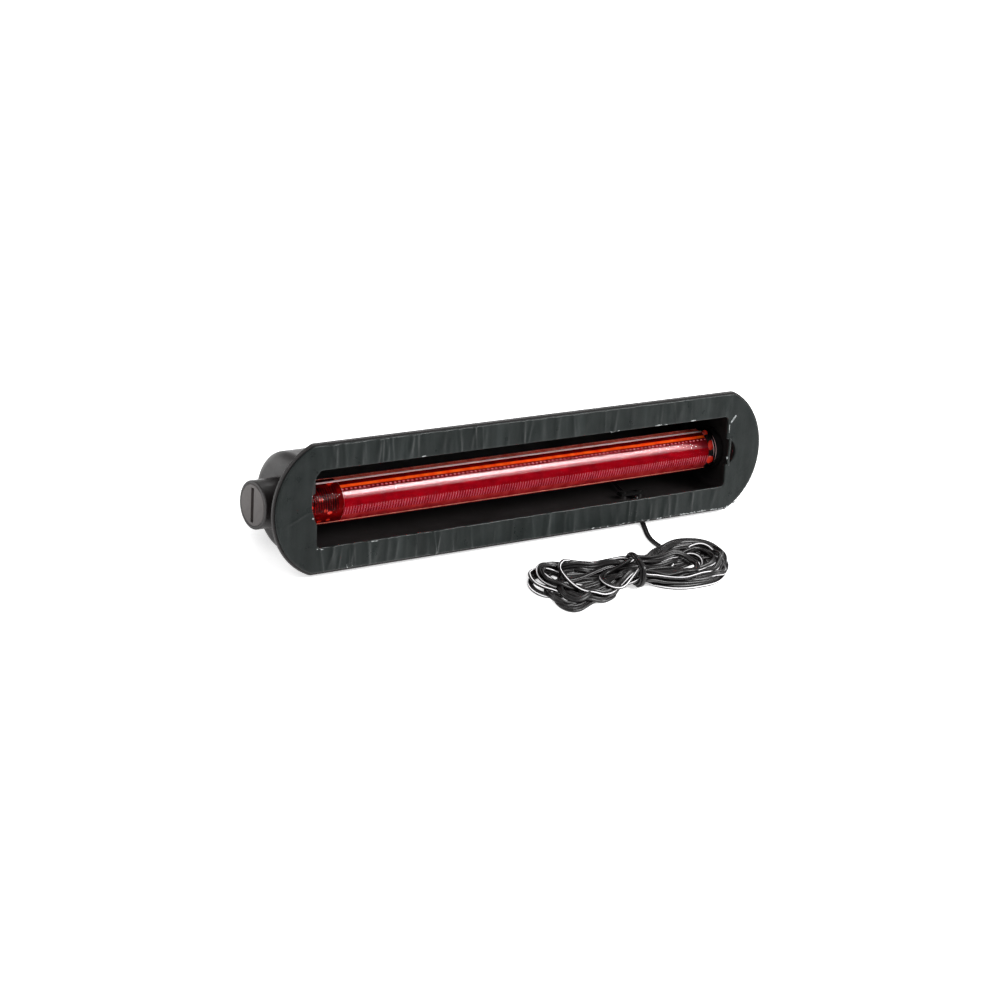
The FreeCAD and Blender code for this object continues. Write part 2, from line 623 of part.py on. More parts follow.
def main():
    os.makedirs("parts", exist_ok=True)
    nodes = {
        "housing": make_housing(),
        "adhesive_pad": make_pad(),
        "lens_tube": make_lens_tube(),
        "left_end_cap": make_end_cap(-1, LEFT_PLUG),
        "right_end_cap": make_end_cap(1, RIGHT_PLUG),
        "reflector": make_reflector(),
        "optic_strip": make_optic_strip(),
        "led_board": make_led_board(),
        "leds": make_leds(),
        "resistors": make_resistors(),
        "polarity_diode": make_diode(),
        "solder_joints": make_solder_joints(),
        "lamp_grommet": make_lamp_grommet(),
        "inner_lead": make_inner_lead(),
        "cord_grommet": make_cord_grommet(),
        "cord_clamp": make_cord_clamp(),
        "clamp_screws": make_clamp_screws(),
    }
    for side, word in ((-1, "left"), (1, "right")):
        nodes[word + "_pivot_screw"] = make_pivot_screw(side)
        nodes[word + "_washer"] = make_washer(side)
        nodes[word + "_friction_ring"] = make_friction_ring(side)
        nodes[word + "_insert"] = make_insert(side)
        nodes[word + "_seal"] = make_seal(side)

    for shape in nodes.values():
        shape.rotate(V(0, 0, 0), X_AXIS, -LEAN_DEG)
    low, high = tight_box([nodes["housing"], nodes["adhesive_pad"]])
    shift = V(0, -(low.y + high.y) / 2, -low.z)
    for shape in nodes.values():
        shape.translate(shift)

    def placed(x, y, z):
        """A point of the face frame, in the row frame."""
        return V(x, y * math.cos(LEAN) + z * math.sin(LEAN) + shift.y,
                 -y * math.sin(LEAN) + z * math.cos(LEAN) + shift.z)

    exit_point = placed(CORD_X, GROMMET_Y, -TROUGH_R - GROMMET_COLLAR)
    nodes["cord"] = make_cord(exit_point)
    nodes["cord_hank"] = make_hank()

    for name, shape in nodes.items():
        assert shape.isValid(), name
        shape.exportStep("parts/" + name + ".step")
        print(f"{name:22s} solids {len(shape.Solids):3d}  volume {shape.Volume:10.1f}")
    print("shift", shift)
    print("pivot axis through", placed(0, PIVOT_Y, PIVOT_Z))
    print("adhesive face point", placed(-(WINDOW_LENGTH / 2 + 15), 0, 20))
    print("left screw face", placed(-HEAD_OUT, PIVOT_Y, PIVOT_Z))
    print("cord exit", exit_point)
    print("cord points", [tuple(round(c, 2) for c in p) for p in cord_points(exit_point)])


main()
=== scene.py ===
import math

import bpy
import numpy as np
from mathutils import Matrix, Vector


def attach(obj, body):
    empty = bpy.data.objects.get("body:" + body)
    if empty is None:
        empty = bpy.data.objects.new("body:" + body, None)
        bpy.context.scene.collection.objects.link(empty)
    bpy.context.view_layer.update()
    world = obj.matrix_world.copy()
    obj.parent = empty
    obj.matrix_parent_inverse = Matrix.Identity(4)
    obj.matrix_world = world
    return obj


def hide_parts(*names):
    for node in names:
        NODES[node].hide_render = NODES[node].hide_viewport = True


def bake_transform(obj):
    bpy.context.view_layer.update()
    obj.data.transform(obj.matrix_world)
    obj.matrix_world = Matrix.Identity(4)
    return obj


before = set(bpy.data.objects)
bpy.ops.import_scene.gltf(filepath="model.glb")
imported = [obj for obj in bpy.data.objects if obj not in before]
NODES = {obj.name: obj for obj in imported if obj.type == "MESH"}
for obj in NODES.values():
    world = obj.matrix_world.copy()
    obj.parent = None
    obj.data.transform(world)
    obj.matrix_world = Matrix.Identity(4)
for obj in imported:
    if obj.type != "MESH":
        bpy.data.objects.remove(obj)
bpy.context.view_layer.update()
MM = 0.001
TURN = 2 * math.pi

# ---- the face frame: X along the light, depth behind the adhesive face, height up that face ----------
LEAN = math.radians(24.5)
SIN, COS = math.sin(LEAN), math.cos(LEAN)
SHIFT_Y, SHIFT_Z = -18.0867, 40.2526


def face_points(p):
    """Points of the face frame, given in millimetres, as places in metres."""
    p = np.asarray(p, float)
    out = np.stack([p[:, 0], p[:, 1] * COS + p[:, 2] * SIN + SHIFT_Y,
                    -p[:, 1] * SIN + p[:, 2] * COS + SHIFT_Z], 1)
    return out * MM


# ---- camera ---------------------------------------------------------------------------------------
FOCAL_LENGTH, SENSOR_WIDTH = 95.017, 36.0
CAMERA_PLACE = (-0.992118, -0.979913, 0.925458)
CAMERA_LOOK = (0.593452, 0.588146, -0.549453)
CAMERA_ROLL = math.radians(20.61)


def make_camera():
    data = bpy.data.cameras.new("camera")
    data.lens = FOCAL_LENGTH
    data.sensor_width = SENSOR_WIDTH
    data.clip_start = 0.05
    data.clip_end = 30.0
    cam = bpy.data.objects.new("camera", data)
    bpy.context.scene.collection.objects.link(cam)
    place = Vector(CAMERA_PLACE)
    forward = Vector(CAMERA_LOOK).normalized()
    right = forward.cross(Vector((0, 0, 1))).normalized()
    up = right.cross(forward)
    cos, sin = math.cos(CAMERA_ROLL), math.sin(CAMERA_ROLL)
    right, up = right * cos + up * sin, up * cos - right * sin
    cam.matrix_world = Matrix((
        (right.x, up.x, -forward.x, place.x),
        (right.y, up.y, -forward.y, place.y),
        (right.z, up.z, -forward.z, place.z),
        (0, 0, 0, 1)))
    bpy.context.scene.camera = cam


make_camera()


# ---- mesh helpers -----------------------------------------------------------------------------------
def add_mesh(name, verts, faces, smooth=True, material_index=None):
    mesh = bpy.data.meshes.new(name)
    mesh.from_pydata([tuple(v) for v in verts], [], [tuple(f) for f in faces])
    mesh.update()
    if smooth:
        mesh.polygons.foreach_set("use_smooth", [True] * len(mesh.polygons))
    if material_index is not None:
        mesh.polygons.foreach_set("material_index", material_index)
    obj = bpy.data.objects.new(name, mesh)
    bpy.context.scene.collection.objects.link(obj)
    return obj


def tube_faces(rings, sides):
    """The side faces of a tube of rings, open at both ends."""
    i = np.arange(rings - 1)[:, None]
    j = np.arange(sides)[None, :]
    k = (j + 1) % sides
    corners = (i * sides + j, i * sides + k, (i + 1) * sides + k, (i + 1) * sides + j)
    return [tuple(f) for f in np.stack([c.ravel() for c in corners], 1)]


def capped_tube(rings, sides):
    """The faces of a tube of rings with a flat face at each end."""
    ends = [tuple(range(sides - 1, -1, -1)), tuple((rings - 1) * sides + j for j in range(sides))]
    return tube_faces(rings, sides) + ends


def grid_faces(rows, columns):
    """The faces of an open grid of points, row by row."""
    return [(i * columns + j, i * columns + j + 1, (i + 1) * columns + j + 1, (i + 1) * columns + j)
            for i in range(rows - 1) for j in range(columns - 1)]


def nurbs_line(points, resolution=4):
    """The smooth line of a NURBS spline with these control points, as an array of points."""
    data = bpy.data.curves.new("route", "CURVE")
    data.dimensions = "3D"
    data.resolution_u = resolution
    spline = data.splines.new("NURBS")
    spline.points.add(len(points) - 1)
    for point, co in zip(spline.points, points):
        point.co = (co[0], co[1], co[2], 1.0)
    spline.order_u = 3
    spline.use_endpoint_u = True
    obj = bpy.data.objects.new("route", data)
    mesh = bpy.data.meshes.new_from_object(obj)
    line = np.array([v.co for v in mesh.vertices], float)
    bpy.data.objects.remove(obj)
    bpy.data.meshes.remove(mesh)
    bpy.data.curves.remove(data)
    return line


def distances(line):
    """How far along the line each of its points is."""
    return np.r_[0, np.cumsum(np.linalg.norm(np.diff(line, axis=0), axis=1))]


def spread(line, step):
    """The same line at even steps."""
    d = distances(line)
    t = np.linspace(0, d[-1], int(round(d[-1] / step)) + 1)
    return np.stack([np.interp(t, d, line[:, k]) for k in range(3)], 1)


def smoothed(values, width):
    """Values blurred over an odd number of places."""
    window = np.hanning(width)
    window /= window.sum()
    return np.convolve(np.pad(values, width // 2, mode="edge"), window, "valid")


def sweep_section(name, line, section, twist, marks=()):
    """A section carried along a line, held level and then turned by twist about the line.

    The marked sides of the section take the piece's second material.
    """
    n, m = len(line), len(section)
    tangent = np.gradient(line, axis=0)
    tangent /= np.linalg.norm(tangent, axis=1)[:, None]
    side = np.cross(np.array([0, 0, 1.0]), tangent)
    side /= np.linalg.norm(side, axis=1)[:, None]
    top = np.cross(tangent, side)
    cos, sin = np.cos(twist)[:, None], np.sin(twist)[:, None]
    wide, thin = side * cos + top * sin, top * cos - side * sin
    verts = (line[:, None, :] + wide[:, None, :] * section[None, :, :1]
             + thin[:, None, :] * section[None, :, 1:]).reshape(-1, 3)
    verts = np.concatenate([verts, line[:1], line[-1:]])
    faces = tube_faces(n, m)
    index = [1 if (f % m) in marks else 0 for f in range(len(faces))] + [0] * (2 * m)
    first, last = n * m, n * m + 1
    for j in range(m):
        k = (j + 1) % m
        faces.append((first, k, j))
        faces.append((last, (n - 1) * m + j, (n - 1) * m + k))
    return add_mesh(name, verts, faces, True, index)


# ---- cord -------------------------------------------------------------------------------------------
CORD_WIDTH, CORE_R, WEB_HALF = 3.9, 1.0, 0.62
STRIPE_FROM, STRIPE_TO = math.radians(25), math.radians(64)    # round a core, up from its side
CORD_ROUTE = np.array([
    (97.0, -19.44, 5.92), (97.0, -20.27, 4.1), (97.0, -22.87, 2.1), (96.6, -28.2, 1.0),
    (92.8, -37.4, 1.0), (89.4, -46.4, 1.0), (91.6, -55.6, 1.0), (97.0, -63.5, 1.0)])
ENTRY_BEND = (-2.0, -14.0, 0.3)     # how the lead curves into its first turn
FREE_RUN = 55                       # length that stays untwisted
LINE_STEP = 1.5                     # between the points of the finished line
HANK_X, HANK_Y = 47.6, -80.0
HANK_TURN = math.radians(-5.5)
TIE_A = 3.0                # station of the tie along the hank
TIE_B, TIE_Z = 2.3, 7.6    # centre of the bundle in the tie
TIE_HALF_B, TIE_HALF_Z = 9.3, 6.4
NEAR_SLOTS, FAR_SLOTS = (-6.3, -2.0), (10.9, 6.6)    # where the two turns of a row pass the tie
ROW_LEAN, ROW_STAGGER = 0.35, 0.8
FIRST_ROW, ROW_RISE = 1.6, 2.35
# one row a turn: right reach, middle and half width of that lobe, then the same to the left
TURNS = [
    (84, 15, 15, 66, -15, 8),
    (78, 8, 10, 75, 3, 11),
    (87, 21, 17, 69, -10, 11),
    (70, 10, 10, 62, 11, 10),
    (83, 15, 14, 74, 5, 10),
    (80, 6, 8, 55, -4, 14),
    (85, 20, 14, 67, 8, 10),
    (66, 11, 8, 60, -10, 10),
    (81, 14, 12, 66, 7, 11),
    (76, 12, 9, 51, 3, 18),
    (58, 8, 8, 25, -10, 8),
]
STRIPE_DOWN = [1, 4, 5, 8, 11, 12, 15, 17, 20]    # lobes that lie with the stripe underneath
LOBE_POINTS = 24
LOBE_POWER, LOBE_PEAK = 0.8, 0.69    # the shape of a lobe's sides, and its greatest value
LOBE_LOW, LOBE_RISE, LEFT_HIGHER = 1.4, 8.5, 0.5    # heights of the lobes' far ends
LOWEST, HIGHEST = 1.2, 13.9          # heights that the strands' middles may have
STEP = 3.4                 # between the relaxed points


def hank_to_row(q):
    c, s = math.cos(HANK_TURN), math.sin(HANK_TURN)
    x = HANK_X + q[:, 0] * c - q[:, 1] * s
    y = HANK_Y + q[:, 0] * s + q[:, 1] * c
    return np.stack([x, y, q[:, 2]], 1)


def row_to_hank(p):
    c, s = math.cos(HANK_TURN), math.sin(HANK_TURN)
    dx, dy = p[:, 0] - HANK_X, p[:, 1] - HANK_Y
    return np.stack([dx * c + dy * s, -dx * s + dy * c, p[:, 2]], 1)


def tie_slot(k):
    """Where turn k passes the tie: near side, far side, height."""
    row, place = divmod(k, 2)
    lean = ROW_LEAN * row
    stagger = ROW_STAGGER if row % 2 else 0.0
    near = NEAR_SLOTS[place] + stagger + lean
    far = FAR_SLOTS[place] - stagger - lean
    return near, far, FIRST_ROW + ROW_RISE * row


def lobe(reach, middle, half, side, b_in, b_out, z_in, z_out, z_end):
    """One lobe of a turn, out from the tie and back; side is 1 to the right and -1 to the left."""
    turn = (np.arange(LOBE_POINTS) + 0.5) / LOBE_POINTS
    angle = turn * TURN
    u = (1 - np.cos(angle)) / 2
    a = TIE_A + (reach - TIE_A) * u if side > 0 else TIE_A - (reach + TIE_A) * u
    half_width = side * half * np.sin(angle) * u ** LOBE_POWER / LOBE_PEAK
    fade = (1 - u) ** 1.5
    drift = middle * u ** LOBE_POWER * (1 - fade)
    b = (b_in * (1 - turn) + b_out * turn) * fade + drift + half_width
    z = (z_in * (1 - turn) + z_out * turn) * (1 - u) + z_end * u
    return np.stack([a, b, z], 1)


def hank_turns():
    parts = []
    last = len(TURNS) - 1
    for k, (reach, mid, half, left_reach, left_mid, left_half) in enumerate(TURNS):
        near, far, z = tie_slot(k)
        _, next_far, next_z = tie_slot(min(k + 1, last))
        z_end = LOBE_LOW + LOBE_RISE * k / last
        parts.append(lobe(reach, mid, half, 1, far, near, z, z, z_end))
        parts.append(lobe(left_reach, left_mid, left_half, -1, near, next_far, z, next_z,
                          z_end + LEFT_HIGHER))
    return np.concatenate(parts)


def relax(p, rounds=260, apart=3.15, tightest=10.5):
    """Settles the turns on the table and on each other, at constant length, inside the tie."""
    p, start, n = p.copy(), p.copy(), len(p)
    free = np.ones(n)
    free[0] = 0
    skip = int(math.ceil(2.2 * apart / STEP))
    pairs = None
    for r in range(rounds):
        if r % 8 == 0:
            i, j = np.triu_indices(n, skip)
            keep = ((p[i] - p[j]) ** 2).sum(1) < (3 * apart) ** 2
            pairs = i[keep], j[keep]
        pull = 0.05 * (1 - r / rounds) ** 1.5 + 0.004
        p += free[:, None] * (start - p) * np.array([pull, pull, 0.2 * pull])
        p[:, 2] -= free * 0.10 * np.clip(np.abs(p[:, 0] - TIE_A) / 22, 0.15, 1)
        for _ in range(3):
            push_apart(p, pairs, apart, free)
            squeeze(p, free)
            for gap in (1, 2, 4):
                hold_gap(p, gap, tightest, free)
        smooth = np.zeros_like(p)
        smooth[1:-1] = (p[:-2] + p[2:]) / 2 - p[1:-1]
        p += 0.25 * smooth * free[:, None]
    return p


def push_apart(p, pairs, apart, free):
    """Moves strands that are too close, each of a pair half the way."""
    i, j = pairs
    d = p[i] - p[j]
    r2 = (d ** 2).sum(1)
    near = r2 < apart * apart
    i, j, r = i[near], j[near], np.sqrt(r2[near]) + 1e-9
    move = d[near] * ((apart - r) / r / 2)[:, None]
    total, count = np.zeros_like(p), np.zeros(len(p))
    np.add.at(total, i, move)
    np.add.at(total, j, -move)
    np.add.at(count, i, 1)
    np.add.at(count, j, 1)
    p += total / np.maximum(count, 1)[:, None] ** 0.7 * free[:, None]


def squeeze(p, free):
    """The tie's ring, the table and the height that the hank may have."""
    grip = np.clip(1.4 - np.abs(p[:, 0] - TIE_A) / 10, 0, 1)
    b, z = (p[:, 1] - TIE_B) / TIE_HALF_B, (p[:, 2] - TIE_Z) / TIE_HALF_Z
    r = np.sqrt(b * b + z * z)
    k = np.where((r > 1) & (free > 0), 1 - (1 - 1 / np.maximum(r, 1e-6)) * grip, 1.0)
    p[:, 1] = TIE_B + (p[:, 1] - TIE_B) * k
    p[:, 2] = TIE_Z + (p[:, 2] - TIE_Z) * k
    p[:, 2] = np.where(free > 0, np.clip(p[:, 2], LOWEST + 1.2 * grip, HIGHEST), p[:, 2])


def hold_gap(p, gap, tightest, free):
    """Neighbours keep their distance; points further along the cord keep it from folding sharply."""
    rest = STEP if gap == 1 else 2 * tightest * math.sin(gap * STEP / tightest / 2)
    for start in range(2 * gap):
        a = np.arange(start, len(p) - gap, 2 * gap)
        b = a + gap
        d = p[b] - p[a]
        length = np.linalg.norm(d, axis=1) + 1e-9
        off = (length - rest) / length
        if gap > 1:
            off = np.minimum(off, 0) * 0.8
        wa, wb = free[a], free[b]
        move = (off / (wa + wb + 1e-9))[:, None] * d
        p[a] += wa[:, None] * move
        p[b] -= wb[:, None] * move


def cord_section():
    """Two round cores side by side with a web between them; returns points and the stripe's faces."""
    centre = (CORD_WIDTH - 2 * CORE_R) / 2
    angles = np.radians(np.linspace(-135, 135, 16))
    right = np.stack([centre + CORE_R * np.cos(angles), CORE_R * np.sin(angles)], 1)
    points = np.concatenate([right, -right])
    thin = np.abs(points[:, 0]) < 0.5
    points[thin, 1] = np.sign(points[thin, 1]) * np.maximum(np.abs(points[thin, 1]), WEB_HALF)
    stripe = {i for i in range(len(angles) - 1)
              if STRIPE_FROM < (angles[i] + angles[i + 1]) / 2 < STRIPE_TO}
    return points * MM, stripe


def cord_twist(line):
    """How the flat lead rolls: gentle waves where it has room, half a turn over on some lobes."""
    s = np.arange(len(line)) * LINE_STEP
    twist = (1.1 * np.sin(s / 61 + 0.4) + 0.8 * np.sin(s / 23.7 + 1.9) + 0.5 * np.sin(s / 151))
    twist *= np.clip((s - FREE_RUN) / 40, 0, 1)
    limit = np.arcsin(np.clip((line[:, 2] / MM - 1.05) / 0.95, 0, 1))
    side = np.sign(row_to_hank(line / MM)[:, 0] - TIE_A)
    side[s < FREE_RUN] = side[s > FREE_RUN][0]
    lobe_number = np.cumsum(np.r_[0, np.abs(np.diff(side)) > 0])
    turned = smoothed(np.isin(lobe_number, STRIPE_DOWN).astype(float), 15)
    return np.clip(twist, -limit, limit) + np.pi * turned


def make_cord():
    """The lead with its hank; returns the piece, its middle line and the hank's settled points."""
    turns = hank_turns()[2:]
    entry = row_to_hank(CORD_ROUTE[-1:])[0]
    bend = entry + np.array(ENTRY_BEND)
    k = np.linspace(0.1, 0.9, 6)[:, None]
    lead = entry * (1 - k) ** 2 + bend * 2 * k * (1 - k) + turns[0] * k ** 2
    settled = relax(spread(np.concatenate([entry[None], lead, turns]), STEP))
    points = np.concatenate([CORD_ROUTE, hank_to_row(settled)[2::2]]) * MM
    line = spread(nurbs_line(points), LINE_STEP * MM)
    section, stripe = cord_section()
    cord = sweep_section("flex_lead", line, section, cord_twist(line), stripe)
    return cord, line, settled


cord, cord_line, settled = make_cord()
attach(cord, "housing")
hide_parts("cord", "cord_hank")


TIE_TURNS, TIE_POINTS, TIE_START = 1.55, 120, math.radians(60)
TIE_OFF = 2.0              # from the middles of the outer strands to the middle of the tie
TIE_OVER = 1.3             # how far its second turn stands off the first
TIE_HALF_WIDE, TIE_HALF_THIN = 1.25, 0.75
TIE_SIDES = 12


def tie_line():
    """The middle of a soft band wound one and a half times round the hank's waist."""
    near = np.abs(settled[:, 0] - TIE_A) < 3.0
    flat = settled[near][:, 1:]
    theta = np.linspace(0, TURN * TIE_TURNS, TIE_POINTS) + TIE_START
    normal = np.stack([np.cos(theta), np.sin(theta)], 1)
    support = smoothed((flat @ normal.T).max(0) + TIE_OFF, 11)
    support += TIE_OVER * np.clip((theta - theta[0]) / TURN - 0.85, 0, 0.3) / 0.3
    slope = np.gradient(support, theta)
    b = support * np.cos(theta) - slope * np.sin(theta)
    z = support * np.sin(theta) + slope * np.cos(theta)
    z = np.maximum(z, TIE_HALF_THIN)
    a = TIE_A - 0.8 + 1.8 * np.linspace(0, 1, TIE_POINTS)
    return spread(nurbs_line(hank_to_row(np.stack([a, b, z], 1))[::2] * MM), 0.8 * MM)


def band_mesh(name, line, half_wide, half_thin):
    """A rounded band along a line, lying flat on what it is wound round."""
    tangent = np.gradient(line, axis=0)
    tangent /= np.linalg.norm(tangent, axis=1)[:, None]
    along = np.array([math.cos(HANK_TURN), math.sin(HANK_TURN), 0.0])
    out = np.cross(tangent, along)
    out /= np.linalg.norm(out, axis=1)[:, None]
    wide = np.cross(out, tangent)
    angles = np.linspace(0, TURN, TIE_SIDES, endpoint=False)
    cos, sin = np.cos(angles), np.sin(angles)
    section = np.stack([half_wide * np.sign(cos) * np.abs(cos) ** 0.6,
                        half_thin * np.sign(sin) * np.abs(sin) ** 0.6], 1)
    verts = (line[:, None, :] + wide[:, None, :] * section[None, :, :1]
             + out[:, None, :] * section[None, :, 1:]).reshape(-1, 3)
    return add_mesh(name, verts, capped_tube(len(line), TIE_SIDES))


tie = band_mesh("cord_tie", tie_line(), TIE_HALF_WIDE * MM, TIE_HALF_THIN * MM)
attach(tie, "housing")


# ---- materials --------------------------------------------------------------------------------------
class Shader:
    """A small builder of node materials round one Principled shader."""

    def __init__(self, name, **sockets):
        self.material = bpy.data.materials.new(name)
        self.material.use_nodes = True
        self.tree = self.material.node_tree
        self.shader = self.tree.nodes["Principled BSDF"]
        self.coords = self.add("TexCoord").outputs["Object"]
        for key, value in sockets.items():
            self.shader.inputs[key.replace("_", " ")].default_value = value

    def add(self, kind):
        return self.tree.nodes.new("ShaderNode" + kind)

    def link(self, source, target):
        self.tree.links.new(source, target)

    def noise(self, scale, detail=3.0, roughness=0.5, stretch=(1, 1, 1)):
        mapping = self.add("Mapping")
        mapping.inputs["Scale"].default_value = stretch
        self.link(self.coords, mapping.inputs["Vector"])
        node = self.add("TexNoise")
        node.inputs["Scale"].default_value = scale
        node.inputs["Detail"].default_value = detail
        node.inputs["Roughness"].default_value = roughness
        self.link(mapping.outputs["Vector"], node.inputs["Vector"])
        return node.outputs["Fac"]

    def ramp(self, value, stops):
        node = self.add("ValToRGB")
        elements = node.color_ramp.elements
        while len(elements) < len(stops):
            elements.new(0.5)
        for element, (place, colour) in zip(elements, stops):
            element.position = place
            element.color = (*colour, 1.0)
        self.link(value, node.inputs["Fac"])
        return node.outputs["Color"]

    def span(self, value, low, high):
        """Stretches the usual run of a noise to between low and high."""
        node = self.add("MapRange")
        node.inputs["From Min"].default_value = 0.3
        node.inputs["From Max"].default_value = 0.7
        node.inputs["To Min"].default_value = low
        node.inputs["To Max"].default_value = high
        self.link(value, node.inputs["Value"])
        return node.outputs["Result"]

    def colour(self, value):
        self.link(value, self.shader.inputs["Base Color"])

    def rough(self, value):
        self.link(value, self.shader.inputs["Roughness"])

    def bump(self, height, distance):
        """Adds relief; a second one lies on the first."""
        node = self.add("Bump")
        node.inputs["Strength"].default_value = 1.0
        node.inputs["Distance"].default_value = distance
        self.link(height, node.inputs["Height"])
        if self.shader.inputs["Normal"].is_linked:
            self.link(self.shader.inputs["Normal"].links[0].from_socket, node.inputs["Normal"])
        self.link(node.outputs["Normal"], self.shader.inputs["Normal"])


def grey(v):
    return (v, v, v)


def moulded(name, dark, light, rough_low, rough_high, grain=1400.0, **sockets):
    """Moulded plastic: colour drifts a little, fine grain, and a roughness that varies."""
    s = Shader(name, **sockets)
    drift = s.noise(22.0, 4.0, 0.6)
    s.colour(s.ramp(drift, [(0.3, dark), (0.72, light)]))
    s.rough(s.span(s.noise(75.0, 3.0, 0.55), rough_low, rough_high))
    s.bump(s.noise(grain, 2.0, 0.5), 0.00004)
    return s.material


def metal(name, colour, rough_low, rough_high):
    """Metal with darker spots and fine grain."""
    s = Shader(name, Metallic=1.0)
    spots = tuple(0.72 * c for c in colour)
    s.colour(s.ramp(s.noise(260.0, 3.0, 0.6), [(0.25, spots), (0.75, colour)]))
    s.rough(s.span(s.noise(900.0, 2.0, 0.5), rough_low, rough_high))
    s.bump(s.noise(1800.0, 2.0, 0.5), 0.00002)
    return s.material


housing_black = moulded("housing_black", (0.0075, 0.0062, 0.0062), (0.014, 0.0115, 0.0115), 0.34, 0.5,
                        Specular_IOR_Level=0.36)
screw_black = moulded("screw_black", (0.040, 0.034, 0.033), (0.058, 0.050, 0.048), 0.38, 0.55, 1100.0)
cap_black = moulded("cap_black", (0.005, 0.0045, 0.0045), (0.009, 0.008, 0.008), 0.4, 0.6,
                    Specular_IOR_Level=0.3)
rubber_black = moulded("rubber_black", grey(0.006), grey(0.012), 0.6, 0.8, 700.0)
# painted shade: the clamp is made far darker than the housing because it sits in the shade of the trough
clamp_black_painted_shade = moulded("clamp_black_painted_shade", (0.0015, 0.0014, 0.0014), (0.003, 0.0028, 0.0028), 0.6, 0.8,
                      Specular_IOR_Level=0.1)
board_white = moulded("circuit_board", (0.62, 0.62, 0.60), (0.76, 0.76, 0.73), 0.3, 0.45)
chip_black = moulded("chip", grey(0.02), grey(0.05), 0.4, 0.6)
steel = metal("steel", (0.62, 0.61, 0.6), 0.22, 0.4)
black_steel = metal("black_steel", (0.03, 0.028, 0.028), 0.4, 0.6)
solder = metal("solder", (0.72, 0.71, 0.69), 0.15, 0.3)
brass = metal("brass", (0.78, 0.58, 0.26), 0.2, 0.38)


def make_lens_red():
    """The glass is nearly clear, because the optic inside it has the red."""
    s = Shader("red_lens", IOR=1.12)
    s.shader.inputs["Specular Tint"].default_value = (0, 0, 0, 1)
    s.shader.inputs["Transmission Weight"].default_value = 1.0
    s.colour(s.ramp(s.noise(30.0, 2.0), [(0.3, (0.97, 0.80, 0.80)), (0.7, (0.99, 0.87, 0.87))]))
    s.rough(s.span(s.noise(90.0, 3.0), 0.0, 0.02))
    return s.material


def make_reflector():
    s = Shader("reflector_white")
    s.colour(s.ramp(s.noise(60.0, 3.0), [(0.3, (0.74, 0.73, 0.72)), (0.7, (0.86, 0.85, 0.84))]))
    s.rough(s.span(s.noise(120.0, 3.0), 0.2, 0.35))
    s.bump(s.noise(600.0, 2.0), 0.00002)
    return s.material


def make_optic():
    s = Shader("clear_optic", IOR=1.49)
    s.colour(s.ramp(s.noise(80.0, 3.0), [(0.3, (0.84, 0.83, 0.82)), (0.7, (0.92, 0.91, 0.9))]))
    s.rough(s.span(s.noise(200.0, 2.0), 0.08, 0.18))
    return s.material


def make_led():
    s = Shader("led", IOR=1.5)
    s.colour(s.ramp(s.noise(300.0, 2.0), [(0.3, (0.75, 0.66, 0.45)), (0.7, (0.88, 0.82, 0.66))]))
    s.rough(s.span(s.noise(500.0, 2.0), 0.1, 0.25))
    return s.material


def make_pvc(name, dark, light):
    s = Shader(name, Specular_IOR_Level=0.3)
    s.colour(s.ramp(s.noise(45.0, 4.0, 0.6), [(0.3, dark), (0.7, light)]))
    s.rough(s.span(s.noise(160.0, 3.0), 0.24, 0.42))
    s.bump(s.noise(500.0, 3.0), 0.00005)
    return s.material


def make_foam():
    s = Shader("foam_pad")
    drift = s.noise(26.0, 5.0, 0.65, (3.6, 0.35, 0.35))
    s.colour(s.ramp(drift, [(0.28, (0.0045, 0.0065, 0.0062)), (0.55, (0.0095, 0.0125, 0.012)),
                            (0.75, (0.02, 0.0245, 0.024))]))
    s.rough(s.span(s.noise(110.0, 4.0), 0.26, 0.42))
    s.shader.inputs["Specular IOR Level"].default_value = 0.22
    s.bump(s.noise(900.0, 3.0, 0.6), 0.00006)
    s.bump(s.noise(160.0, 3.0, 0.6, (2.5, 1, 1)), 0.00006)
    return s.material


red_lens = make_lens_red()
reflector_white = make_reflector()
clear_optic = make_optic()
led_clear = make_led()
cord_black = make_pvc("cord_black", (0.0035, 0.003, 0.0032), (0.008, 0.007, 0.0074))
cord_white = make_pvc("cord_stripe", (0.66, 0.65, 0.66), (0.8, 0.79, 0.8))
foam_pad = make_foam()

for name, material in {
    "housing": housing_black, "left_pivot_screw": screw_black, "right_pivot_screw": screw_black,
    "left_end_cap": cap_black, "right_end_cap": cap_black, "cord_clamp": clamp_black_painted_shade,
    "lamp_grommet": rubber_black, "cord_grommet": rubber_black,
    "left_friction_ring": rubber_black, "right_friction_ring": rubber_black,
    "left_seal": rubber_black, "right_seal": rubber_black, "led_board": board_white,
    "resistors": chip_black, "polarity_diode": chip_black, "leds": led_clear,
    "solder_joints": solder, "clamp_screws": black_steel, "left_washer": steel, "right_washer": steel,
    "left_insert": brass, "right_insert": brass, "lens_tube": red_lens,
    "reflector": reflector_white, "optic_strip": clear_optic, "inner_lead": cord_black,
    "adhesive_pad": foam_pad, "cord": cord_black, "cord_hank": cord_black,
}.items():
    mesh = NODES[name].data
    mesh.materials.clear()
    mesh.materials.append(material)

cord.data.materials.append(cord_black)
cord.data.materials.append(cord_white)
tie.data.materials.append(cord_black)


# ---- adhesive pad -----------------------------------------------------------------------------------
PAD_THICKNESS = 1.2
FLANGE_TOP, FLANGE_HALF, SAGITTA, PAD_INSET = 40.0, 164.0, 27.0, 1.5
WINDOW_HALF_X, WINDOW_HALF_Z, WINDOW_CORNER = 160.5, 23.5, 3.0
RIGHT_NOTCH = (8.8, 8.0, -0.4)      # half height, depth and middle of the window's notches
LEFT_NOTCH = (16.0, 4.0, -6.5)      # this end is made upside down and turned round
STRAIGHT_POINTS, END_POINTS = 760, 110


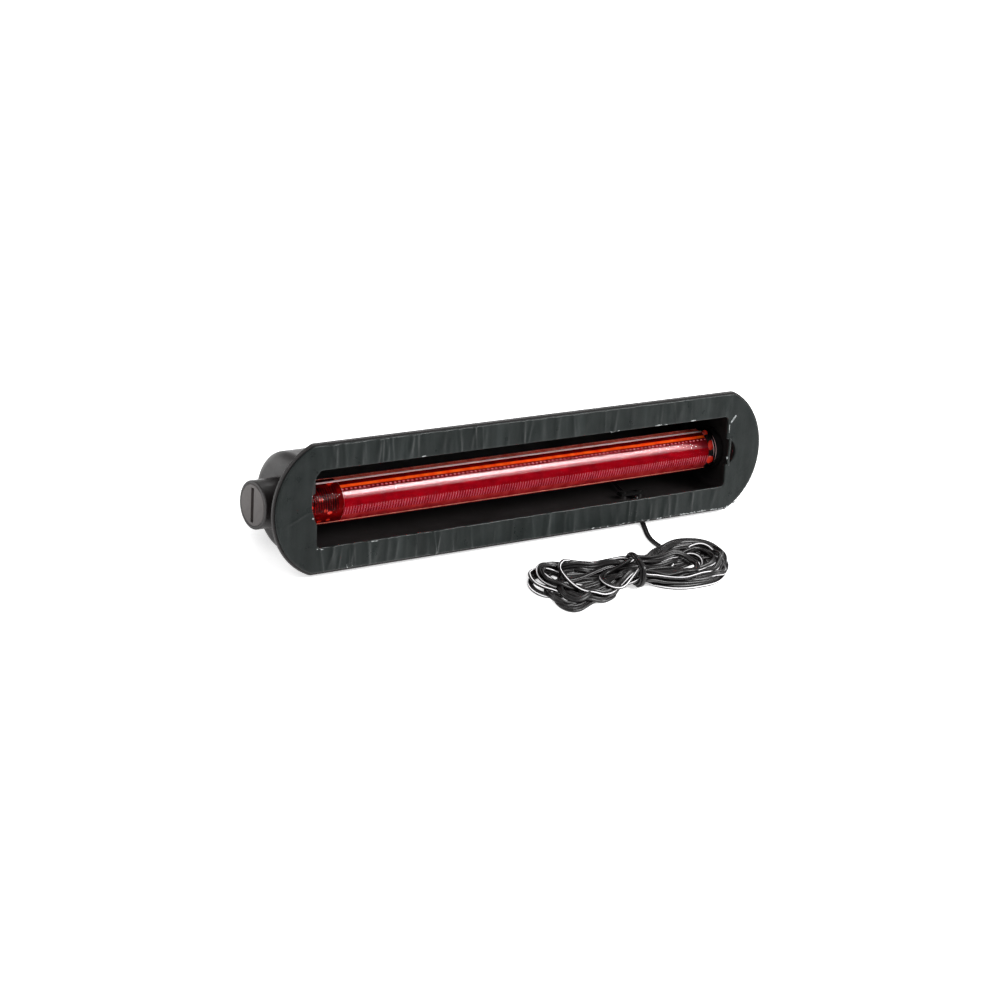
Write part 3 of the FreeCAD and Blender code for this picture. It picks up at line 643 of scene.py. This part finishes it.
def window_end(notch):
    """The right end of the window, from its top corner to its bottom corner."""
    half, depth, middle = notch
    arc = np.radians(np.linspace(90, 0, 9))
    top = np.stack([WINDOW_HALF_X - WINDOW_CORNER + WINDOW_CORNER * np.cos(arc),
                    WINDOW_HALF_Z - WINDOW_CORNER + WINDOW_CORNER * np.sin(arc)], 1)
    radius = (half ** 2 + depth ** 2) / (2 * depth)
    sweep = math.asin(half / radius)
    turn = np.linspace(sweep, -sweep, 25)
    bow = np.stack([WINDOW_HALF_X + depth - radius + radius * np.cos(turn),
                    middle + radius * np.sin(turn)], 1)
    return np.concatenate([top, bow, top[::-1] * np.array([1, -1])])


def pad_rings():
    """Matching points of the window's edge and the pad's outer edge, clockwise from the top left."""
    radius = (FLANGE_TOP ** 2 + SAGITTA ** 2) / (2 * SAGITTA) - PAD_INSET
    centre = FLANGE_HALF + SAGITTA - radius - PAD_INSET
    top = FLANGE_TOP - PAD_INSET
    corner = centre + math.sqrt(radius ** 2 - top ** 2)
    half_angle = math.asin(top / radius)
    flat = WINDOW_HALF_X - WINDOW_CORNER
    x = np.linspace(-flat, flat, STRAIGHT_POINTS)
    outer_top = np.stack([x * corner / flat, np.full(STRAIGHT_POINTS, top)], 1)
    inner_top = np.stack([x, np.full(STRAIGHT_POINTS, WINDOW_HALF_Z)], 1)
    t = np.linspace(0, 1, END_POINTS + 2)[1:-1]
    angle = half_angle * (1 - 2 * t)
    outer_end = np.stack([centre + radius * np.cos(angle), radius * np.sin(angle)], 1)
    ends = []
    for notch in (RIGHT_NOTCH, LEFT_NOTCH):
        path = window_end(notch)
        d = distances(path)
        ends.append(np.stack([np.interp(t * d[-1], d, path[:, k]) for k in range(2)], 1))
    inner = np.concatenate([inner_top, ends[0], -inner_top, -ends[1]])
    outer = np.concatenate([outer_top, outer_end, -outer_top, -outer_end])
    return inner, outer


# larger creases: place, height, width, slant, and from where to where up the face
CREASES = [
    (-138, 0.55, 0.8, 0.05, -38, -26), (-133, 0.35, 0.9, -0.1, -38, -25),
    (-73, 0.6, 0.9, 0.08, -38, -26), (-80, 0.4, 1.2, -0.06, -38, -25),
    (-104, 0.4, 1.3, 0.1, -38, -25), (-58, 0.3, 1.0, 0.0, -37, -25),
    (-30, 0.3, 1.1, 0.06, -38, -27), (30, 0.25, 1.2, -0.05, -38, -26),
    (96, 0.3, 1.0, 0.12, -38, -26), (-183, 0.4, 0.6, 2.2, -8, -0.5),
    (-150, 0.3, 1.2, 0.1, 24, 38), (-128, 0.3, 1.0, -0.05, 24, 38),
    (-112, 0.35, 1.1, 0.04, 24, 38), (-95, 0.25, 1.3, 0.0, 24, 38),
    (-40, 0.25, 1.4, 0.05, 24, 38),
]
# small ridges on the upper and the lower strip: side, count, least and greatest height
RIDGES = [(1, 80, 0.15, 0.75), (-1, 90, 0.2, 0.85)]
RIDGE_REACH = 160                   # they lie between this and its negative
STRIP_END, STRIP_MIDDLE = 163, 31
ROUGH_FROM, ROUGH_TO, ROUGHER = -150, -60, 1.35    # a stretch of the lower strip with higher ridges


def wrinkles(x, z, rng):
    """How far the pad's face stands proud: ridges across the straight strips, and larger creases."""
    height = np.zeros_like(x)
    for side, count, low, high in RIDGES:
        strip = (np.sign(z) == side) & (np.abs(x) < STRIP_END)
        for place in np.sort(rng.uniform(-RIDGE_REACH, RIDGE_REACH, count)):
            calm = 1.15 - 0.65 * (place + RIDGE_REACH) / (2 * RIDGE_REACH)
            if side < 0 and ROUGH_FROM < place < ROUGH_TO:
                calm *= ROUGHER
            size = rng.uniform(low, high) * rng.uniform(0.4, 1.0) * calm
            width = rng.uniform(0.8, 3.2)
            slant = rng.uniform(-0.16, 0.16)
            bend = rng.uniform(-0.8, 0.8)
            middle = rng.uniform(25, 37)
            reach = rng.uniform(6, 20)
            v = np.abs(z) - STRIP_MIDDLE
            line = place + slant * v + bend * np.sin(v / 4.5)
            fade = np.exp(-((np.abs(z) - middle) / reach) ** 2)
            height += np.where(strip, size * np.exp(-((x - line) / width) ** 2) * fade, 0)
    for place, size, width, slant, low, high in CREASES:
        line = place + slant * (z - low)
        along = np.clip((z - low) / (high - low), 0, 1)
        inside = (z > low) & (z < high)
        crease = size * np.exp(-((x - line) / width) ** 2) * np.sin(math.pi * along) ** 0.5
        height += np.where(inside, crease, 0)
    return height


def make_pad():
    inner, outer = pad_rings()
    # share of the way from the window to the outer edge, and depth behind the pad's face
    rows = [(0.0, PAD_THICKNESS + 0.02), (0.0, 0.45), (0.006, 0.16), (0.022, 0.03)]
    rows += [(t, 0.0) for t in np.linspace(0.05, 0.95, 17)]
    rows += [(1 - t, y) for t, y in rows[3::-1]]
    points = []
    for t, y in rows:
        flat = inner * (1 - t) + outer * t
        points.append(np.stack([flat[:, 0], np.full(len(inner), y), flat[:, 1]], 1))
    points = np.stack(points)
    lift = wrinkles(points[..., 0], points[..., 2], np.random.default_rng(11))
    depth = points[..., 1]
    points[..., 1] = np.where(depth < 0.1, depth - lift, depth)
    verts = face_points(points.reshape(-1, 3))
    return add_mesh("foam_face", verts, tube_faces(len(rows), len(inner)))


pad = make_pad()
pad.data.materials.append(foam_pad)
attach(pad, "housing")
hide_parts("adhesive_pad")


def make_bridge():
    """The thin bridge of the pad across the notch in the right end of its window."""
    z = np.linspace(-10.0, 9.0, 20)
    x = 163.0 + 0.3 * np.sin(z / 3.0)
    ring = np.array([(-1.0, 0.0), (0.0, -0.12), (1.0, 0.0), (0.9, 0.7), (-0.9, 0.7)])
    verts = [(a + dx, y, b) for a, b in zip(x, z) for dx, y in ring]
    return add_mesh("foam_bridge", face_points(verts), capped_tube(len(z), len(ring)))


# light scraps of the release film, and among them painted highlights: the slash at the window's top
# right corner, the line down its right edge and the spots over the creases near the lower left edge;
# place on the face, half length, half width, direction in degrees
SCRAPS_AND_PAINTED_GLINTS = [(-85.3, 24.2, 1.6, 0.35, 5), (61.5, 23.9, 2.2, 0.35, 0), (66.5, 24.0, 1.0, 0.25, 10),
          (99.4, 24.1, 3.2, 0.45, 3), (106.0, 24.0, 1.2, 0.3, -5), (129.3, 24.1, 2.6, 0.4, 2),
          (164.8, 21.6, 3.6, 0.8, 47), (161.6, 15.5, 0.3, 3.4, 0), (161.3, -4.4, 0.7, 0.8, 0),
          (-163.7, -5.0, 0.75, 0.7, 0), (-138.3, -37.0, 0.5, 1.6, 10), (-135.5, -37.6, 1.2, 0.3, 15),
          (-72.6, -35.0, 0.45, 1.5, 0), (-158.0, -24.3, 3.0, 0.35, -12), (-120.0, -24.4, 4.0, 0.25, 0)]


SCRAP_SIDES = 9
LOWER_EDGE, EDGE_RISE = -38.45, 0.4    # the pad's lower edge, and its rise past the straight part


def make_scraps_and_glints():
    rng = np.random.default_rng(23)
    scraps = list(SCRAPS_AND_PAINTED_GLINTS)
    for x in np.sort(np.concatenate([rng.uniform(48, 172, 34), rng.uniform(118, 172, 22)])):
        scraps.append((x, LOWER_EDGE + rng.uniform(-0.25, 0.5), rng.uniform(0.3, 1.5),
                       rng.uniform(0.15, 0.42), rng.uniform(-25, 25)))
    verts, faces = [], []
    for x, z, long, wide, turn in scraps:
        first = len(verts)
        c, s = math.cos(math.radians(turn)), math.sin(math.radians(turn))
        if abs(x) > FLANGE_HALF and abs(z) > 30:
            z += (abs(x) - FLANGE_HALF) * EDGE_RISE
        for k in range(SCRAP_SIDES):
            a = TURN * k / SCRAP_SIDES
            u = long * math.cos(a) * rng.uniform(0.75, 1.1)
            v = wide * math.sin(a) * rng.uniform(0.75, 1.1)
            for y in (-0.16, 0.12):
                verts.append((x + u * c - v * s, y - 0.1 * rng.uniform(), z + u * s + v * c))
        for k in range(SCRAP_SIDES):
            a, b = first + 2 * k, first + 2 * ((k + 1) % SCRAP_SIDES)
            faces.append((a, b, b + 1, a + 1))
        faces.append(tuple(first + 2 * k for k in range(SCRAP_SIDES - 1, -1, -1)))
        faces.append(tuple(first + 2 * k + 1 for k in range(SCRAP_SIDES)))
    return add_mesh("film_scraps_and_painted_glints", face_points(verts), faces, smooth=False)


# the release film's colour, which also paints the highlights among the scraps
film_and_glints = Shader("release_film_and_painted_glints")
film_and_glints.colour(film_and_glints.ramp(film_and_glints.noise(600.0, 3.0), [(0.35, (0.10, 0.11, 0.11)), (0.75, (0.48, 0.5, 0.5))]))
film_and_glints.rough(film_and_glints.span(film_and_glints.noise(900.0, 2.0), 0.2, 0.4))
for piece, material in ((make_bridge(), foam_pad), (make_scraps_and_glints(), film_and_glints.material)):
    piece.data.materials.append(material)
    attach(piece, "housing")


# ---- lamp optics ------------------------------------------------------------------------------------
LAMP_Y, LAMP_Z = 26.0, -3.6
OPTICS_LEFT, OPTICS_RIGHT = -133.0, 156.8
GLASS_R, GLASS_HALF = 13.8, 163.2
FACING = 18.5              # the optic faces this many degrees up from the flange's own outlook


def red(name, dark, light, rough, coat, shine=0.0):
    """Coloured plastic as it looks through the glass; some of these looks are painted light."""
    s = Shader(name, Specular_IOR_Level=shine)
    s.colour(s.ramp(s.noise(160.0, 4.0, 0.6), [(0.32, dark), (0.7, light)]))
    s.rough(s.span(s.noise(220.0, 3.0), 0.7 * rough, 1.3 * rough))
    s.shader.inputs["Coat Weight"].default_value = coat
    s.shader.inputs["Coat Roughness"].default_value = 0.05
    s.bump(s.noise(420.0, 3.0), 0.00004)
    return s.material


COAT_FROM, COAT_TO = -0.02, 0.15    # the coat fades between these places along the lamp


def fade_coat(material, left, right):
    """A polished coat, at its strongest on the left of the lamp and duller to the right."""
    nodes, links = material.node_tree.nodes, material.node_tree.links
    shader = nodes["Principled BSDF"]
    shader.inputs["Coat IOR"].default_value = 1.66
    shader.inputs["Coat Roughness"].default_value = 0.12
    place = nodes.new("ShaderNodeTexCoord")
    split = nodes.new("ShaderNodeSeparateXYZ")
    span = nodes.new("ShaderNodeMapRange")
    ends = {"From Min": COAT_FROM, "From Max": COAT_TO, "To Min": left, "To Max": right}
    for name, value in ends.items():
        span.inputs[name].default_value = value
    links.new(place.outputs["Object"], split.inputs["Vector"])
    links.new(split.outputs["X"], span.inputs["Value"])
    links.new(span.outputs["Result"], shader.inputs["Coat Weight"])


def lamp_point(x, radius, angle):
    """A point round the lamp's axis; the angle is in degrees above the optic's facing direction."""
    a = np.radians(np.asarray(angle, float) + FACING)
    x, radius, a = np.broadcast_arrays(x, radius, a)
    return np.stack([x, LAMP_Y - radius * np.cos(a), LAMP_Z + radius * np.sin(a)], -1)


def across(share, radius):
    """The angle at which a share of the glass's height, from its top, meets this radius."""
    return math.degrees(math.asin(max(-1.0, min(1.0, (1 - 2 * share) * GLASS_R / radius))))


# slots of the optic's materials
DEEP, PAINTED_GLOW, MIDDLE, PAINTED_RIB_SHEEN, PAINTED_GLINT_DOTS, GLOSS, LOW, PAINTED_TOP_GLOW, SHEEN = range(9)
# (share of the glass's height where the band starts, its material), from the top down; the top, orange
# and rib bands carry painted light
BANDS = [(0.0, PAINTED_TOP_GLOW), (0.092, DEEP), (0.205, PAINTED_GLOW), (0.272, DEEP), (0.342, GLOSS), (0.44, SHEEN),
         (0.515, MIDDLE), (0.69, PAINTED_RIB_SHEEN), (0.85, LOW), (0.99, DEEP)]
SLEEVE_R = 12.9
FRONT_TOP, FRONT_BOTTOM = 0.042, 0.958                    # shares where the front starts and ends
DOT_SHARE, DOT_BAND, DOT_HALF, DOT_HEIGHT = 0.306, 0.019, 0.85, 0.42
RIB_SHARE, RIB_BAND, RIB_DEPTH = 0.77, 0.075, 0.30
FLUTE_SHARE, FLUTE_BAND, FLUTE_DEPTH = 0.24, 0.028, 0.45    # a groove along the optic
GLOSS_END = 133                                           # from here on the gloss is only a sheen
DOT_PITCH, RIB_PITCH, COLLAR_PITCH = 3.2, 2.0, 1.7


def make_sleeve():
    """The lamp's optic: a pipe whose front has a row of small lenses and a band of cross ribs."""
    x = np.arange(OPTICS_LEFT, OPTICS_RIGHT + 0.2, 0.4)
    front = np.linspace(across(FRONT_TOP, SLEEVE_R), across(FRONT_BOTTOM, SLEEVE_R), 120)
    angle = np.concatenate([front, np.linspace(front[-1] - 7, front[0] - 360, 30)])
    share = (1 - np.sin(np.radians(angle)) * SLEEVE_R / GLASS_R) / 2
    share[len(front):] = 1.0
    radius = np.full((len(x), len(angle)), SLEEVE_R)
    ribs = np.exp(-((share - RIB_SHARE) / RIB_BAND) ** 4)
    radius -= RIB_DEPTH * ribs[None, :] * (0.5 + 0.5 * np.cos(TURN * x[:, None] / RIB_PITCH))
    phase = (x + 1e-6) % DOT_PITCH - DOT_PITCH / 2
    dots = np.exp(-(phase[:, None] / DOT_HALF) ** 2 - ((share[None, :] - DOT_SHARE) / DOT_BAND) ** 2)
    radius += DOT_HEIGHT * dots
    radius -= FLUTE_DEPTH * np.exp(-((share - FLUTE_SHARE) / FLUTE_BAND) ** 2)[None, :]
    points = lamp_point(x[:, None], radius, angle[None, :])
    n, m = radius.shape
    index = []
    edges = np.array([b[0] for b in BANDS])
    for i in range(n - 1):
        for j in range(m - 1):
            band = np.searchsorted(edges, (share[j] + share[j + 1]) / 2) - 1
            kind = BANDS[band][1]
            if kind == GLOSS and x[i] > GLOSS_END:
                kind = SHEEN
            # the lenslets take a painted glint colour
            if dots[i, j] > 0.4:
                kind = PAINTED_GLINT_DOTS
            # the rib band alternates the painted pink reflection with the plain red, one rib at a time
            elif kind == PAINTED_RIB_SHEEN and math.cos(TURN * x[i] / RIB_PITCH) < -0.1:
                kind = MIDDLE
            index.append(kind)
    return add_mesh("optic_sleeve", face_points(points.reshape(-1, 3)), grid_faces(n, m), True, index)


COLLAR_LEFT, COLLAR_R = -160.5, 12.85
COLLAR_BASE, COLLAR_PAINTED_GLINT, COLLAR_RIB = range(3)    # slots of its materials
GROOVES_MIDDLE, GROOVES_HALF, GROOVE_DEPTH = -146, 9, 0.28
NECK, NECK_HALF, NECK_DEPTH = -157.0, 0.7, 0.5
# painted highlights: bright red glints strewn over the collar
PAINTED_GLINT_LONG, PAINTED_GLINT_WIDE = 1.6, 5.0    # half length in millimetres, half width in degrees


def make_collar():
    """The ribbed collar over the left cap's plug, seen through the glass."""
    x = np.arange(COLLAR_LEFT, OPTICS_LEFT, 0.15)
    angle = np.linspace(-180, 180, 151)
    radius = np.full((len(x), len(angle)), COLLAR_R)
    middle = np.exp(-((angle - 2) / 38.0) ** 4)[None, :]
    groove = (np.sin(TURN * x / COLLAR_PITCH) > 0.1) & (np.abs(x - GROOVES_MIDDLE) < GROOVES_HALF)
    radius -= GROOVE_DEPTH * middle * groove[:, None]
    radius -= NECK_DEPTH * (np.abs(x - NECK) < NECK_HALF)[:, None]
    points = lamp_point(x[:, None], radius, angle[None, :])
    n, m = radius.shape
    rng = np.random.default_rng(5)
    # where the painted glints lie
    spots = rng.uniform((-158, -70), (-135, 75), (10, 2))
    index = []
    for i in range(n - 1):
        for j in range(m - 1):
            ribbed = middle[0, j] > 0.5 and groove[i]
            off = ((x[i] - spots[:, 0]) / PAINTED_GLINT_LONG) ** 2 + ((angle[j] - spots[:, 1]) / PAINTED_GLINT_WIDE) ** 2
            plain = COLLAR_PAINTED_GLINT if off.min() < 1 else COLLAR_BASE
            index.append(COLLAR_RIB if ribbed else plain)
    return add_mesh("plug_collar", face_points(points.reshape(-1, 3)), grid_faces(n, m), True, index)


# thin lines of painted light along the glass, two amber ones painting the glow at its upper and lower
# edges and a pale one painting a highlight: name, share of the glass's height, half thickness, right end
PAINTED_LINES = [("glass_painted_glow_upper", 0.036, 0.62, OPTICS_RIGHT),
         ("glass_painted_highlight_line", 0.112, 0.68, OPTICS_RIGHT),
         ("glass_painted_glow_lower", 0.955, 0.5, 158.0)]
RAIL_R, RAIL_RINGS, RAIL_SIDES = 13.15, 60, 10
# painted highlights on the edges of the glass's ends: place along the lamp, lower and upper angle
EDGE_HIGHLIGHTS = [(162.9, -48, 34), (160.9, -30, 22), (-160.0, -60, -20)]
RIM_R, RIM_HALF, RIM_RINGS, RIM_SIDES = 13.3, 0.26, 30, 8
# locating tabs, coloured with the collar's painted glint red: angle, half sizes
TABS = [(50, (2.6, 1.2, 2.8)), (4, (2.4, 1.4, 3.6)), (-42, (3.2, 1.3, 2.8))]
TAB_X, TAB_R, TAB_RINGS, TAB_SIDES = 159.6, 11.6, 11, 20


def make_painted_line(name, share, thick, right):
    """A thin line along the glass that carries painted light."""
    x = np.linspace(-GLASS_HALF, right, RAIL_RINGS)
    turn = np.linspace(0, TURN, RAIL_SIDES, endpoint=False)
    centre = lamp_point(x, RAIL_R, across(share, RAIL_R))
    ring = np.stack([np.zeros(RAIL_SIDES), thick * np.cos(turn), thick * np.sin(turn)], 1)
    verts = (centre[:, None, :] + ring[None, :, :]).reshape(-1, 3)
    return add_mesh(name, face_points(verts), capped_tube(RAIL_RINGS, RAIL_SIDES))


def make_edge_highlight(name, place, low, high):
    """A painted highlight on part of the glass's end edge, thinner towards its own ends."""
    angle = np.linspace(low, high, RIM_RINGS)
    turn = np.linspace(0, TURN, RIM_SIDES, endpoint=False)
    size = RIM_HALF * np.sin(np.linspace(0.12, math.pi - 0.12, RIM_RINGS))[:, None]
    verts = lamp_point(place + size * np.cos(turn), RIM_R + size * np.sin(turn), angle[:, None])
    return add_mesh(name, face_points(verts.reshape(-1, 3)), capped_tube(RIM_RINGS, RIM_SIDES))


def make_tab(name, angle, size):
    """A rounded locating tab at the right end of the optic."""
    u = np.linspace(0, math.pi, TAB_RINGS)
    v = np.linspace(0, TURN, TAB_SIDES, endpoint=False)
    ball = np.stack([np.outer(np.sin(u), np.cos(v)), np.outer(np.sin(u), np.sin(v)),
                     np.outer(np.cos(u), np.ones(TAB_SIDES))], -1).reshape(-1, 3)
    verts = lamp_point(TAB_X, TAB_R, angle) + ball * np.array(size)
    return add_mesh(name, face_points(verts), tube_faces(TAB_RINGS, TAB_SIDES))


SHINE_TINT = (1.0, 0.62, 0.65, 1.0)


def make_lamp():
    deep = red("optic_deep", (0.085, 0.0004, 0.0012), (0.16, 0.001, 0.003), 0.2, 0.0)
    # painted light: the bright orange band is a painted glow of light carried in the glass's wall
    painted_glow = red("optic_painted_glow", (0.9, 0.05, 0.006), (1.0, 0.15, 0.012), 0.3, 0.0)
    middle = red("optic_red", (0.15, 0.001, 0.004), (0.25, 0.002, 0.007), 0.25, 0.0)
    # painted reflection: the ribs are real grooves, their pink is a painted reflection of the floor
    ribs = red("optic_ribs_painted_reflection", (0.34, 0.035, 0.055), (0.5, 0.09, 0.12), 0.25, 0.25)
    # painted highlight: the lenslets are real bumps, their pink is a painted glint on each
    dots = red("optic_dots_painted_glint", (0.5, 0.07, 0.09), (0.75, 0.24, 0.28), 0.2, 0.3)
    # painted light: the light orange top band paints the glow at the glass's upper edge, brightened
    # against the shade of the window's top edge
    painted_top_glow = red("optic_painted_top_glow", (0.8, 0.14, 0.10), (1.0, 0.26, 0.2), 0.25, 0.1)
    sheen = red("optic_sheen", (0.12, 0.004, 0.008), (0.20, 0.008, 0.012), 0.18, 0.0, 0.26)
    low = red("optic_low", (0.28, 0.010, 0.014), (0.46, 0.035, 0.036), 0.25, 0.1)
    # painted light: the amber of the glow lines at the glass's edges
    painted_amber_glow = red("glass_painted_amber_glow", (0.85, 0.2, 0.15), (1.0, 0.36, 0.28), 0.3, 0.3)
    gloss = red("optic_gloss", (0.10, 0.004, 0.007), (0.17, 0.007, 0.011), 0.14, 0.0, 0.56)
    for material in (gloss, sheen):
        tint = material.node_tree.nodes["Principled BSDF"].inputs["Specular Tint"]
        tint.default_value = SHINE_TINT
    fade_coat(gloss, 0.4, 0.0)
    dark = red("collar_rib", (0.01, 0.001, 0.001), (0.03, 0.002, 0.002), 0.4, 0.2)
    # painted highlight: the bright red of the collar's glints, also given to the tabs
    painted_glint = red("collar_painted_glint", (0.5, 0.008, 0.006), (0.85, 0.05, 0.02), 0.2, 0.5)
    # painted highlight: the pale of the white line and of the glass's end edges
    painted_highlight = red("glass_painted_highlight", (0.85, 0.60, 0.61), (0.95, 0.75, 0.76), 0.3, 0.5, 0.5)
    collar_red = red("collar_red", (0.05, 0.0005, 0.001), (0.14, 0.0015, 0.002), 0.2, 0.04)
    sleeve = make_sleeve()
    for material in (deep, painted_glow, middle, ribs, dots, gloss, low, painted_top_glow, sheen):
        sleeve.data.materials.append(material)
    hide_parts("optic_strip")
    collar = make_collar()
    for material in (collar_red, painted_glint, dark):
        collar.data.materials.append(material)
    pieces = [sleeve, collar]
    for values, material in zip(PAINTED_LINES, (painted_amber_glow, painted_highlight, painted_amber_glow)):
        painted_line = make_painted_line(*values)
        painted_line.data.materials.append(material)
        pieces.append(painted_line)
    for k, values in enumerate(EDGE_HIGHLIGHTS, 1):
        edge_highlight = make_edge_highlight("glass_edge_%d" % k, *values)
        edge_highlight.data.materials.append(painted_highlight)
        pieces.append(edge_highlight)
    for k, values in enumerate(TABS, 1):
        tab = make_tab("optic_tab_%d" % k, *values)
        tab.data.materials.append(painted_glint)
        pieces.append(tab)
    for piece in pieces:
        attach(piece, "lamp")


make_lamp()


# ---- the lead inside, from the cord's grommet along the trough's floor and up behind the lamp --------
INNER_ROUTE = [(97, 13, -31.8), (97, 13, -25.9), (97, 16.9, -27.1), (97, 23.3, -27.1), (97, 29, -25.8),
               (95, 37.5, -21), (86, 44.5, -12), (73, 46.6, -5), (56, 45.6, LAMP_Z), (56, 32.2, LAMP_Z)]


def make_inner_lead():
    """A round lead along its route, from the cord's grommet to behind the lamp."""
    line = spread(nurbs_line(face_points(INNER_ROUTE), 12), 0.8 * MM)
    turn = np.linspace(0, TURN, 14, endpoint=False)
    section = np.stack([np.cos(turn), np.sin(turn)], 1) * MM
    lead = sweep_section("lead_inside", line, section, np.zeros(len(line)))
    lead.data.materials.append(cord_black)
    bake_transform(lead)
    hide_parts("inner_lead")


make_inner_lead()


# ---- floor, light -----------------------------------------------------------------------------------
FLOOR_HALF = 6.0
LIT_POINT = (0, 0, 0.02)    # where every light looks


def make_stage():
    h = FLOOR_HALF
    corners = [(-h, -h, 0), (h, -h, 0), (h, h, 0), (-h, h, 0)]
    floor = add_mesh("floor", corners, [(0, 1, 2, 3)], smooth=False)
    s = Shader("floor_white")
    s.colour(s.ramp(s.noise(3.0), [(0.3, grey(0.88)), (0.7, grey(0.9))]))
    s.rough(s.span(s.noise(20.0), 0.75, 0.9))
    s.shader.inputs["Emission Color"].default_value = (1, 1, 1, 1)
    s.shader.inputs["Emission Strength"].default_value = 0.55
    floor.data.materials.append(s.material)


def area_light(name, place, size_x, size_y, power):
    data = bpy.data.lights.new(name, "AREA")
    data.shape = "RECTANGLE"
    data.size = size_x
    data.size_y = size_y
    data.energy = power
    light = bpy.data.objects.new(name, data)
    bpy.context.scene.collection.objects.link(light)
    light.location = place
    look = Vector(LIT_POINT) - Vector(place)
    light.rotation_euler = look.to_track_quat("-Z", "Y").to_euler()


make_stage()
area_light("key", (1.24, -0.75, 1.52), 1.1, 1.0, 62)
area_light("fill", (-1.5, -0.1, 1.3), 1.2, 1.2, 16)
area_light("back", (0.9, 1.4, 1.5), 1.4, 0.16, 5)

world = bpy.data.worlds.new("studio")
bpy.context.scene.world = world
world.use_nodes = True
background = world.node_tree.nodes["Background"]
background.inputs["Color"].default_value = (1, 1, 1, 1)
background.inputs["Strength"].default_value = 0.5
bpy.context.scene.view_settings.view_transform = "Standard"
